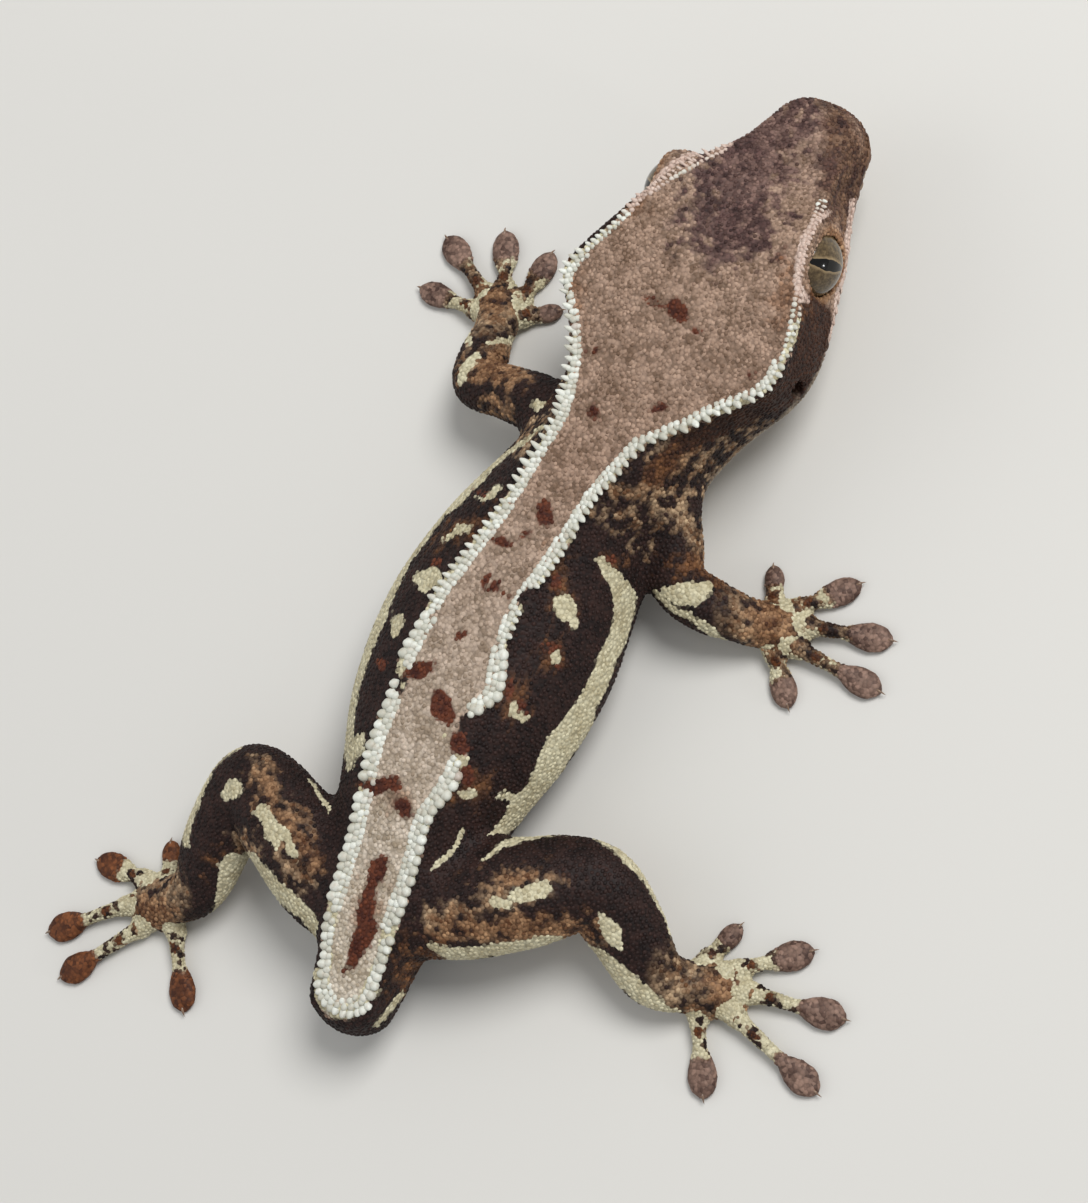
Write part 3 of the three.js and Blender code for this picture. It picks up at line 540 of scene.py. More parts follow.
def makeSkin():
    grid = openvdb.FloatGrid()
    grid.background = margin
    grid.copyFromArray(makeField())
    points, quads = grid.convertToQuads(isovalue=0.0)
    points = points.astype(float) * voxel + skinGrid["low"]
    edges = np.concatenate([quads[:, [i, (i + 1) % 4]] for i in range(4)])
    edges = np.unique(np.sort(edges, axis=1), axis=0)
    points = relax(points, edges, 2, 0.5)
    points[:, 2] = points[:, 2].clip(0)
    print("skin quads", len(quads))
    skin = meshFrom("skin", points, quads.astype(int).tolist())
    thin = skin.modifiers.new("thin", "DECIMATE")
    thin.ratio = min(1, skinTriangles / (2 * len(quads)))
    applyModifiers(skin)
    skin.data.polygons.foreach_set("use_smooth", [True] * len(skin.data.polygons))
    print("skin triangles", sum(len(p.vertices) - 2 for p in skin.data.polygons))
    return skin


skin = makeSkin()


# Where each point of the skin lies on the body and in the picture.
def pointsOf(obj):
    flat = np.empty(len(obj.data.vertices) * 3)
    obj.data.vertices.foreach_get("co", flat)
    return flat.reshape(-1, 3) / mm - planShift


def normalsOf(obj):
    flat = np.empty(len(obj.data.vertices) * 3, np.float32)
    obj.data.vertices.foreach_get("normal", flat)
    return flat.reshape(-1, 3).astype(float)


skinPoints, skinNormals = pointsOf(skin), normalsOf(skin)
x, y, z = skinPoints.T
farAway = 9.0


def trunkPlaces():
    at, aside, over = spineCoords(x, y)
    lift = z - ringValue("halfZ", at)
    angle = np.arctan2(np.abs(aside), lift)
    distance = np.hypot(aside, lift) - lookUp(sectionReach, at, angle)
    return {"at": at, "aside": aside, "girth": lookUp(sectionGirth, at, angle) * np.sign(aside),
            "trunk": np.where(np.abs(over) > 0.6, farAway, distance)}


def limbPlaces(name, limb):
    distance, where = chainField(x, y, z, *limbSamples(limb))
    toe, toeAt, toeAside = np.full(len(x), farAway), np.zeros(len(x)), np.full(len(x), farAway)
    for base, tip, pad in toesOf(limb):
        away, step = chainField(x, y, z, *toeSamples(base, tip, pad))
        heading = np.array(tip) - np.array(base)
        heading = heading / np.hypot(*heading)
        aside = (x - base[0]) * -heading[1] + (y - base[1]) * heading[0]
        toeAt = np.where(away < toe, step / (toeShape["steps"] - 1), toeAt)
        toeAside = np.where(away < toe, aside, toeAside)
        toe = np.minimum(away, toe)
    palm = np.hypot(x - limb["hub"][0], y - limb["hub"][1])
    return {name: distance, name + "At": where / (limbSteps - 1), name + "Palm": palm,
            name + "Toe": toe, name + "ToeAt": toeAt, name + "ToeAside": toeAside}


place = trunkPlaces()
for name, limb in limbs.items():
    place.update(limbPlaces(name, limb))
pictureX, pictureY = toPicture(skinPoints)
toCamera = cameraPlace - skinPoints
toCamera /= np.linalg.norm(toCamera, axis=1)[:, None]
seen = np.clip(((skinNormals * toCamera).sum(1) + 0.4) / 0.15, 0, 1)  # 1 where the camera sees the skin
print("places found")


def roughNoise(points, size, seed, octaves=2):
    offset = Vector((seed * 17.3, seed * 5.1, seed * 9.7))
    return np.array([noise.fractal(Vector(p) / size + offset, 1.0, 2.0, octaves) for p in points])


wander = [roughNoise(skinPoints, 2.2, seed) for seed in (1, 2)]  # slow, for the edges of marks
blotch = roughNoise(skinPoints, 1.1, 3, 3)                        # quick, for flecks
pixelsPerMm = 9.4
markWander = 5.0
markX = pictureX + markWander * wander[0]
markY = pictureY + markWander * wander[1]


# Markings are fields in millimetres, positive inside a mark, placed in the picture and laid on what it shows.
def spot(x, y, halfWide, halfTall, turn=0):
    c, s = math.cos(math.radians(turn)), math.sin(math.radians(turn))
    dx, dy = markX - x, markY - y
    u, v = (dx * c + dy * s) / halfWide, (dy * c - dx * s) / halfTall
    return (1 - np.sqrt(u * u + v * v)) * min(halfWide, halfTall) / pixelsPerMm


def streak(points, halfWidths, warp=1.0):
    sx, sy = pictureX + (markX - pictureX) * warp, pictureY + (markY - pictureY) * warp
    best = np.full(len(sx), -99.0)
    for (x0, y0), (x1, y1), w0, w1 in zip(points, points[1:], halfWidths, halfWidths[1:]):
        dx, dy = x1 - x0, y1 - y0
        t = np.clip(((sx - x0) * dx + (sy - y0) * dy) / (dx**2 + dy**2), 0, 1)
        away = np.hypot(sx - x0 - t * dx, sy - y0 - t * dy)
        best = np.maximum(best, (w0 + (w1 - w0) * t - away) / pixelsPerMm)
    return best


unmarked = -9.0


def anyOf(marks):
    best = np.full(len(pictureX), unmarked)
    for mark in marks.values():
        best = np.maximum(best, streak(*mark) if isinstance(mark[0], list) else spot(*mark))
    return best - 3 * (1 - seen)


# Half widths of the pale stripe on each side of the spine, by place along it.
stripe = {
    "leftAt": [0, 12, 20, 24, 30, 32.2, 33.8, 37.2, 41.4, 47, 52, 56,
               59, 63, 67, 71, 74.5, 79, 84, 90.5, 103, 112],
    "left": [3, 7, 10.4, 11.4, 13.6, 13.3, 11.6, 8.8, 6.8, 5.2, 4.2, 3.8,
             3.8, 4.3, 5.0, 5.2, 5.4, 4.9, 5.0, 4.3, 4.1, 2.6],
    "rightAt": [0, 12, 20, 26, 29, 32, 35, 38, 41, 43, 46, 49,
                52.5, 56, 60, 64, 68, 72.5, 75, 77, 82.4, 85.8, 90, 96.7, 112],
    "right": [3, 7, 10.6, 12.9, 13.6, 13.3, 10.8, 8.6, 6.3, 4.7, 4.4, 4.4,
              4.7, 5.1, 5.2, 4.7, 5.0, 6.2, 6.6, 5.6, 6.1, 5.7, 4.4, 4.4, 3.4],
}
# A spot has its place, half sizes and turn. A streak has its points, half widths and how much it wanders.
trunkMarks = {
    "dark": {
        "notch": ([(552, 592), (530, 600), (516, 600)], [9, 11, 5], 0.6), "notchLow": (530, 620, 12, 20, 20),
        "gap": ([(540, 740), (515, 722), (490, 722), (468, 722)], [16, 15, 13, 10], 0.6),
        "gapEnd": (465, 738, 7, 9, 0),
        "gapLow": (489, 749, 23, 22, 0), "leftGap": ([(378, 668), (396, 674), (400, 684)], [10, 10, 9], 0.6),
        "hipGap": ([(350, 780), (366, 784)], [9, 5], 0.6),
        "stubEnd": ([(306, 1000), (322, 1026), (352, 1034), (384, 1012)], [8, 10, 14, 10], 0.4),
    },
    "cream": {
        "flankBeads": (564, 608, 11, 14, -15), "flankTail": (574, 625, 5, 6, 0),
        "flankRing": (554, 656, 6, 7, 0),
        "sideStripe": ([(600, 561), (612, 574), (625, 596), (623, 620), (613, 648), (601, 675), (590, 700),
                        (578, 724), (561, 745), (549, 768), (537, 790), (517, 812), (500, 832), (483, 844)],
                       [5, 7, 11, 10, 9, 10, 10, 14, 16, 13, 10, 11, 7, 2], 0.5),
        "stripeLobe": (508, 797, 13, 6, 0), "wedge": (519, 712, 13, 7, 40), "notchDot": (517, 608, 6, 6, 0),
        "hipDot": (469, 794, 10, 6, 10), "bandDot": (400, 672, 5, 4, 0), "bandDotTwo": (404, 685, 4, 4, 0),
        "ribDot": (442, 735, 3, 3, 0), "leftOne": (429, 578, 14, 11, -25), "leftTwo": (396, 625, 7, 11, 0),
        "leftLong": (458, 533, 18, 4, -25), "leftHigh": (490, 493, 13, 5, -25),
        "leftLine": ([(544, 426), (518, 446), (494, 465), (471, 487), (457, 500), (442, 514), (429, 530),
                      (412, 555), (398, 577), (388, 600), (377, 628), (365, 659), (355, 689), (349, 719),
                      (347, 742), (351, 766)],
                     [1.5, 2, 3, 4, 5, 4, 4, 4, 4.5, 4.5, 4.5, 4.5, 4.5, 5, 6, 4], 0.3),
        "leftLobe": (359, 746, 6, 14, 15),
        "stubSide": ([(462, 828), (455, 848), (440, 862), (432, 869)], [2, 3, 3, 2], 0.4),
        "stubTip": ([(317, 972), (322, 997), (338, 1013), (357, 1009), (375, 990)], [4, 5, 6, 6, 5], 0.5),
        "stubLow": ([(402, 992), (388, 1012), (376, 1026)], [2, 2.5, 2], 0.4),
    },
    "rust": {
        "shoulder": (545, 513, 10, 15, -20), "pairOne": (503, 540, 11, 6, 10), "pairTwo": (523, 536, 7, 5, 0),
        "ribOne": (494, 585, 12, 9, 35), "ribTwo": (507, 600, 10, 8, 30), "middle": (461, 635, 6, 7, 0),
        "bandOne": (421, 670, 18, 8, -12), "bandTwo": (443, 706, 11, 19, -25),
        "bandThree": (459, 743, 9, 13, -25),
        "wedgeTop": (510, 690, 5, 11, 0), "wedgeSide": (524, 708, 8, 5, 45), "lowEdge": (469, 778, 8, 9, -20),
        "hipOne": (382, 785, 19, 9, -8), "hipTwo": (404, 808, 14, 8, 40), "stripeTop": (612, 558, 10, 5, 20),
        "beadTop": (556, 580, 6, 8, 0), "ringTop": (551, 646, 9, 3, 0), "ringLow": (560, 667, 8, 3, 0),
        "leftDot": (435, 564, 7, 4, 0), "leftDotTwo": (480, 490, 6, 3, 0),
        "leftDotThree": (381, 664, 7, 6, 0),
        "stub": ([(384, 860), (378, 873), (372, 885), (368, 900), (365, 915), (366, 932), (358, 948),
                  (352, 962), (343, 975)], [7, 9, 5, 8, 8, 12, 8, 4, 2]),
        "crownOne": (649, 301, 10, 4, 10), "crownTwo": (676, 310, 15, 11, 30),
        "crownThree": (698, 329, 7, 3, 30),
        "napeOne": (592, 352, 8, 4, 0), "napeTwo": (592, 413, 8, 5, 0), "napeThree": (658, 406, 9, 6, 15),
        "napeFour": (752, 375, 5, 5, 0), "napeFive": (574, 325, 5, 3, 0),
    },
    "temple": {
        "band": ([(814, 300), (818, 330), (812, 362), (786, 392), (748, 412)], [11, 17, 17, 13, 10], 0.3),
        "neck": ([(748, 412), (710, 432), (680, 446), (655, 474)], [9, 9, 9, 12], 0.5),
    },
    "brow": {
        "right": ([(829, 212), (815, 222), (803, 245), (798, 265), (798, 284), (806, 300)],
                  [2, 4, 4.5, 4.5, 4, 4], 0.2),
        "lip": ([(853, 200), (849, 232), (844, 262), (839, 300), (832, 346), (822, 372)],
                [2.5, 3.5, 4, 4.5, 4, 2], 0.2),
        "left": ([(732, 143), (700, 151), (672, 164), (650, 184), (634, 204)], [2, 3, 3, 4, 3], 0.3),
    },
    "orange": {
        "browEnd": (803, 296, 9, 14, 0), "crownRight": (788, 300, 10, 26, 0),
        "leftRim": (636, 200, 10, 14, 35),
        "neckLeft": (572, 292, 7, 24, 0), "stripeHead": (608, 562, 8, 7, 0), "wedge": (514, 704, 11, 12, 0),
        "ring": (554, 656, 10, 11, 0), "beads": (560, 590, 8, 20, -15), "lowEdge": (472, 788, 13, 10, 0),
        "neckRight": (664, 466, 20, 8, -35), "hip": (392, 796, 20, 12, 20),
        "leftLong": (462, 530, 18, 6, -25),
        "stubSide": (415, 955, 8, 26, 22), "stub": (368, 908, 12, 30, 15),
    },
    "mottle": {
        "bridge": ([(796, 112), (760, 140), (742, 180), (734, 224), (726, 250)], [26, 40, 46, 40, 16], 0.8),
    },
    "deep": {
        "crown": (738, 226, 30, 26, 20), "tip": (738, 144, 26, 18, 0), "edge": (706, 196, 14, 28, 20),
        "stripOne": (836, 164, 7, 8, 0), "stripTwo": (836, 194, 8, 13, 0), "snoutEnd": (800, 104, 24, 5, 10),
    },
    "strip": {"right": ([(838, 116), (844, 150), (842, 190), (834, 214)], [14, 20, 20, 12], 0.6)},
}


# How far into its marks a point lies, from 0 to 1, with edges broken by blotches.
def shareOf(marks, soft, broken):
    return np.clip(0.5 + (anyOf(marks) + broken * blotch) / soft, 0, 1)


# Grows from 0 to 1 around a place along the body.
def stepAt(at, middle, width):
    return 1 / (1 + np.exp((middle - at) / width))


trunkLook = {"stripeWander": 0.18, "crestDrop": 1.1, "band": (0.65, 0.7, 0.3), "bandRump": (75, 2.0),
             "bandFrom": (21, 1.5), "templeFrom": 20, "templeTo": 46, "templeHalf": 1.6, "templeDrop": 3,
             "bellyGirth": 22.5, "throatDrop": 1.2, "throatTo": 48, "snoutTo": 15, "neckFrom": 33,
             "neckTo": 52,
             "paleFrom": 50, "paleOver": 55}


def trunkFields():
    look, at, aside, girth = trunkLook, place["at"], place["aside"], place["girth"]
    crestZ = ringValue("crestZ", at)
    left = smoothAt(stripe["leftAt"], stripe["left"], at)
    right = smoothAt(stripe["rightAt"], stripe["right"], at)
    edge = np.where(aside > 0, left - aside, right + aside) + look["stripeWander"] * wander[0]
    edge = edge - 3 * np.clip(crestZ - look["crestDrop"] - z, 0, 2)
    dark = anyOf(trunkMarks["dark"])
    tan = np.minimum(edge, -dark)
    base, onRump, rough = look["band"]
    band = base + onRump * stepAt(at, *look["bandRump"]) + rough * wander[1]
    cream = np.where(tan > 0, band - edge - 4 * (1 - stepAt(at, *look["bandFrom"])), unmarked)
    cream = np.maximum(cream, anyOf(trunkMarks["cream"]))
    onTemple = (at > look["templeFrom"]) & (at < look["templeTo"]) & (aside > 0)
    underCrest = np.where(onTemple, look["templeHalf"] - np.abs(z - crestZ + look["templeDrop"]), unmarked)
    belly = np.clip((np.abs(girth) - look["bellyGirth"] - 2 * wander[0]) / 3, 0, 1)
    throat = np.clip((ringValue("halfZ", at) - look["throatDrop"] - z + wander[0]) / 2, 0, 1)
    snoutTone = np.clip((13 - at) / 9, 0, 1) * np.clip(0.7 + 0.9 * blotch, 0, 1)
    mottle = np.maximum(shareOf(trunkMarks["mottle"], 1.8, 4.0) * (z > 12), snoutTone)
    snoutSide = np.clip((13.5 - z) / 2.5, 0, 1) * (at < look["snoutTo"])
    neck = (at > look["neckFrom"]) & (at < look["neckTo"]) & (tan < 0)
    return {
        "tan": np.where(at < look["bandFrom"][0], np.maximum(tan, 1.5 - (at < 0)), tan),
        "pale": np.clip((at - look["paleFrom"]) / look["paleOver"], 0, 1) * np.clip(tan / 0.3, 0, 1),
        "snout": np.maximum(snoutSide, shareOf(trunkMarks["strip"], 1.2, 0.8)),
        "mottle": mottle, "deep": shareOf(trunkMarks["deep"], 3.0, 5.0) * 0.8,
        "temple": np.maximum(anyOf(trunkMarks["temple"]), underCrest),
        "speck": neck * np.clip(0.15 + 1.8 * blotch, 0, 1), "orange": shareOf(trunkMarks["orange"], 1.6, 1.6),
        "cream": cream, "rust": anyOf(trunkMarks["rust"]), "brow": anyOf(trunkMarks["brow"]),
        "belly": np.maximum(belly, throat * (at < look["throatTo"])), "gap": -dark,
    }


limbMarks = {
    "legRight": {
        "cream": {
            "front": ([(482, 862), (499, 847), (524, 837), (558, 831), (588, 829), (612, 840), (634, 859),
                       (652, 884), (664, 909), (672, 934)], [1.5, 3, 4, 4, 5, 8, 8, 6, 5, 2], 0.3),
            "rear": ([(430, 945), (450, 955), (474, 953), (509, 948), (543, 944), (573, 948), (598, 958),
                      (620, 975), (642, 993), (660, 1010), (680, 1026)],
                     [3, 6, 6, 7, 9, 9, 9, 10, 9, 8, 12], 0.4),
            "one": (529, 893, 22, 10, -10), "two": (612, 930, 8, 20, -30), "three": (500, 902, 12, 5, 10),
            "heel": (686, 1030, 16, 13, 20),
        },
        "orange": {"low": ([(450, 926), (520, 930), (590, 930)], [9, 11, 8]), "top": (512, 880, 18, 6, -10),
                   "foot": (735, 985, 30, 26, 0), "side": (440, 945, 14, 12, 0)},
        "speck": {"thigh": ([(440, 920), (480, 926), (530, 932), (594, 932)], [16, 13, 9, 9]),
                  "mid": (512, 888, 32, 16, -10),
                  "foot": (730, 980, 34, 28, 0), "shin": (684, 985, 18, 12, 0)},
    },
    "legLeft": {
        "cream": {
            "front": ([(240, 747), (224, 754), (210, 768), (200, 790), (190, 815), (186, 832), (187, 846)],
                      [2, 3, 4, 5, 5, 4, 2], 0.3),
            "inner": ([(308, 779), (325, 803), (336, 826)], [1.5, 2, 2], 0.3),
            "one": (231, 790, 12, 8, -40), "two": ([(264, 812), (272, 824), (284, 836)], [6, 9, 7]),
            "rear": ([(320, 938), (308, 916), (291, 901), (274, 887), (261, 873), (250, 860)],
                     [5, 7, 8, 8, 9, 8], 0.4),
            "hollow": (233, 868, 17, 14, -20), "three": (290, 848, 5, 12, -30),
            "four": (272, 842, 4, 10, -25),
            "shin": ([(230, 880), (222, 905), (211, 924), (204, 940), (201, 962), (198, 985)],
                     [12, 7, 5, 5, 5, 4], 0.4),
        },
        "orange": {"thigh": ([(262, 772), (270, 800), (296, 832), (312, 862)], [4, 6, 10, 9]),
                   "foot": (146, 916, 26, 20, 0), "knee": (230, 858, 12, 8, 0)},
        "speck": {"thigh": ([(258, 764), (268, 792), (292, 838), (300, 870)], [6, 8, 18, 16]),
                  "foot": (145, 900, 34, 32, 0), "shin": (246, 842, 12, 10, 0)},
    },
    "armRight": {
        "cream": {
            "patch": ([(666, 592), (690, 596), (708, 588)], [7, 13, 6], 0.5),
            "rear": ([(654, 592), (672, 608), (700, 624), (727, 644), (745, 656), (757, 672), (770, 672)],
                     [2, 3, 4, 4, 5, 7, 6], 0.4),
        },
        "orange": {"patch": (702, 570, 28, 12, 15), "hand": (775, 622, 28, 34, 0)},
        "speck": {"hand": (778, 622, 34, 38, 0), "front": ([(664, 506), (690, 530), (724, 562), (750, 584)],
                                                          [7, 8, 8, 7])},
    },
    "armLeft": {
        "cream": {
            "outer": ([(477, 356), (465, 368), (460, 384)], [4, 5, 3], 0.4),
            "top": ([(489, 344), (500, 340), (516, 341), (524, 352), (524, 368)], [2, 3, 4, 3, 2], 0.4),
            "wrist": ([(456, 304), (463, 322), (470, 342)], [7, 6, 3], 0.4),
            "shoulder": (539, 408, 8, 5, 20), "low": ([(486, 420), (516, 430)], [2, 2], 0.4),
        },
        "orange": {"forearm": (494, 368, 26, 18, 0), "hand": (490, 295, 26, 16, 0),
                   "patch": (497, 408, 9, 8, 0)},
        "speck": {"forearm": (494, 364, 30, 22, 0), "hand": (492, 296, 34, 26, 0),
                  "patch": (497, 408, 11, 9, 0)},
    },
}
toeLook = {"near": 0.6, "padStart": 0.56, "padCurve": 0.35, "knuckleAt": 0.3, "knuckleLong": 0.42,
           "knuckleWide": 0.5, "beadAt": 0.03, "rims": 0.75, "rimFrom": 0.1, "rimTo": 0.93, "paleFrom": 0.12,
           "paleToe": {"leg": 0.25, "arm": -0.35}, "palm": 5.5, "palmFade": 2.5}
# What a field is where no limb or no trunk sets it.
plain = {"tan": unmarked, "pale": 0, "snout": 0, "mottle": 0, "deep": 0, "temple": -5, "rust": unmarked,
         "brow": unmarked, "knuckle": unmarked, "gap": 9, "pad": unmarked, "redPad": unmarked}


def limbFields(name):
    look, marks = toeLook, limbMarks[name]
    toe, at, aside = place[name + "Toe"], place[name + "ToeAt"], place[name + "ToeAside"]
    onToe = toe < look["near"]
    pad = (at - look["padStart"]) * 9 - look["padCurve"] * np.abs(aside) + 0.25 * wander[0]
    pad = np.where(onToe, pad, unmarked)
    spread = np.hypot((at - look["knuckleAt"]) * 7 / look["knuckleLong"], aside / look["knuckleWide"])
    knuckle = np.where(onToe, 1 - spread + 0.9 * blotch, unmarked) * 0.5
    bead = np.where(onToe, 0.75 - np.abs(at - look["beadAt"]) * 9 + 0.8 * wander[1], unmarked)
    onRim = onToe & (at > look["rimFrom"]) & (at < look["rimTo"])
    rims = np.where(onRim, -aside - look["rims"] + 0.2 * wander[1], unmarked)
    cream = np.maximum(np.maximum(anyOf(marks["cream"]), bead), rims)
    paleToe = look["paleToe"][name[:3]] + 1.2 * blotch
    cream = np.where(onToe & (at > look["paleFrom"]) & (pad < 0), np.maximum(cream, paleToe), cream)
    onPalm = np.clip((look["palm"] + 0.8 - place[name + "Palm"]) / look["palmFade"], 0, 1)
    speck = np.maximum(shareOf(marks["speck"], 1.4, 1.6), np.maximum(onPalm, onToe))
    found = {"speck": speck * np.clip(0.6 + 1.5 * blotch, 0, 1), "orange": shareOf(marks["orange"], 1.6, 2.2),
             "cream": cream, "belly": np.clip((-skinNormals[:, 2] - 0.25) / 0.4, 0, 1), "knuckle": knuckle,
             "pad": pad}
    if name == "legLeft":  # its pads are redder
        found["redPad"] = pad
    return found


rimLook = {"full": 1.5, "reach": 0.75, "socket": 0.12, "lineHalf": 0.17, "lineFlat": 0.97}


def skinFields():
    fields = trunkFields()
    for key in ("knuckle", "pad", "redPad"):
        fields[key] = np.full(len(skinPoints), unmarked)
    nearest = place["trunk"] - 0.3
    for name in limbs:
        limb = limbFields(name)
        distance = np.minimum(place[name], place[name + "Toe"])
        distance = np.where(place[name + "Palm"] < toeLook["palm"], np.minimum(distance, 0.0), distance)
        for key in fields:
            fields[key] = np.where(distance < nearest, limb.get(key, plain.get(key)), fields[key])
        nearest = np.minimum(nearest, distance)
    rim, socket = farAway, farAway
    for sign in (1, -1):
        away = skinPoints - eyeCentre(sign)
        out = away @ eyeGaze(sign)
        flat = np.sqrt(np.clip((away**2).sum(1) - out**2, 0, None))
        depth = math.sqrt(eye["radius"]**2 - eye["rim"]**2)
        rim = np.minimum(rim, np.hypot(flat - eye["rim"], out - depth))
        socket = np.minimum(socket, np.linalg.norm(away, axis=1) - eye["radius"])
    fields["rim"] = np.clip(rimLook["full"] - rim / rimLook["reach"], 0, 1)
    # Skin within a short reach of each eyeball takes a near-black colour: painted shade in the crevice where
    # the skin meets the ball.
    fields["socket"] = np.clip(1 - socket / rimLook["socket"], 0, 1)
    # A dark band along the mouth crease: painted shade in the groove between the lips.
    mouthZ = smoothAt(mouth["places"], mouth["heights"], place["at"])
    onHead = (place["at"] < mouth["end"]) * (place["trunk"] < 1.0)
    line = np.exp(-((z - mouthZ) / rimLook["lineHalf"])**2) * onHead
    fields["line"] = line * (np.abs(skinNormals[:, 2]) < rimLook["lineFlat"])
    return fields


fields = skinFields()
for name, values in fields.items():
    layer = skin.data.attributes.new(name, "FLOAT", "POINT")
    layer.data.foreach_set("value", np.asarray(values, np.float32))
print("markings laid")


def toLinear(hexText):
    shares = [int(hexText[i:i + 2], 16) / 255 for i in (1, 3, 5)]
    return [c / 12.92 if c <= 0.04045 else ((c + 0.055) / 1.055)**2.4 for c in shares] + [1.0]


# Adds a node. Settings fill its own fields or its inputs, and links feed its inputs.
def addNode(tree, kind, settings=None, links=None):
    node = tree.nodes.new(kind)
    for key, value in (settings or {}).items():
        if isinstance(key, str) and hasattr(node, key):
            setattr(node, key, value)
        else:
            node.inputs[key].default_value = value
    for key, source in (links or {}).items():
        tree.links.new(source, node.inputs[key])
    return node


def newMaterial(name):
    material = bpy.data.materials.new(name)
    material.use_nodes = True
    material.node_tree.nodes.clear()
    return material, material.node_tree


def finishMaterial(tree, shader):
    addNode(tree, "ShaderNodeOutputMaterial", {}, {"Surface": shader.outputs["BSDF"]})


# Each layer lies over the one before. A mark has edge softness and raggedness in mm, the others a share.
skinLayers = {
    "flank": {"colours": ("#140705", "#2e1b16")},
    "tan": {"soft": 0.12, "ragged": 0.3, "colours": ("#705846", "#a78c79")},
    "pale": {"share": 1.0, "colours": ("#a3947f", "#cdc2b2")},
    "speck": {"share": 0.9, "colours": ("#6d4a2e", "#b79c7c")},
    "mottle": {"share": 0.85, "colours": ("#3d2424", "#765b54")},
    "snout": {"share": 0.8, "colours": ("#3f2417", "#73543b")},
    "deep": {"share": 0.85, "colours": ("#211011", "#452a2b")},
    "temple": {"soft": 0.2, "ragged": 0.4, "colours": ("#241008", "#43281a")},
    "orange": {"share": 0.55, "colours": ("#4c2812", "#98683f")},
    "belly": {"share": 0.9, "colours": ("#a89684", "#c9bba4")},
    "cream": {"soft": 0.08, "ragged": 0.16, "colours": ("#b0a585", "#cac3a6")},
    "rust": {"soft": 0.15, "ragged": 0.3, "colours": ("#3a150b", "#62321d")},
    "brow": {"soft": 0.1, "ragged": 0.12, "colours": ("#b3988a", "#d2bdb0")},
    "rim": {"share": 0.95, "colours": ("#7a5136", "#a8835f")},
    # Painted shade along the mouth crease.
    "line": {"share": 0.75, "colours": ("#2c1710", "#40261b")},
    "pad": {"soft": 0.3, "ragged": 0.2, "colours": ("#4b352d", "#8b7062")},
    "redPad": {"soft": 0.3, "ragged": 0.2, "colours": ("#42200f", "#7d4a29")},
    "knuckle": {"soft": 0.12, "ragged": 0.2, "colours": ("#2e1509", "#5f3517")},
    # Painted shade, near black, in the crevice where the skin meets the eyeball.
    "socket": {"share": 0.95, "colours": ("#120c0a", "#1c1210")},
}
skinGrain = {
    "scale": 0.42, "patch": 2.4, "fine": 0.16, "fold": 1.7,  # mm across one granule, tone, grain and crease
    "bumpScale": 0.085, "bumpFine": 0.02, "bumpFold": 0.12, "bump": 0.8,
    "roughness": 0.6, "specular": 0.24, "ior": 1.5, "eachShare": 0.45,
}


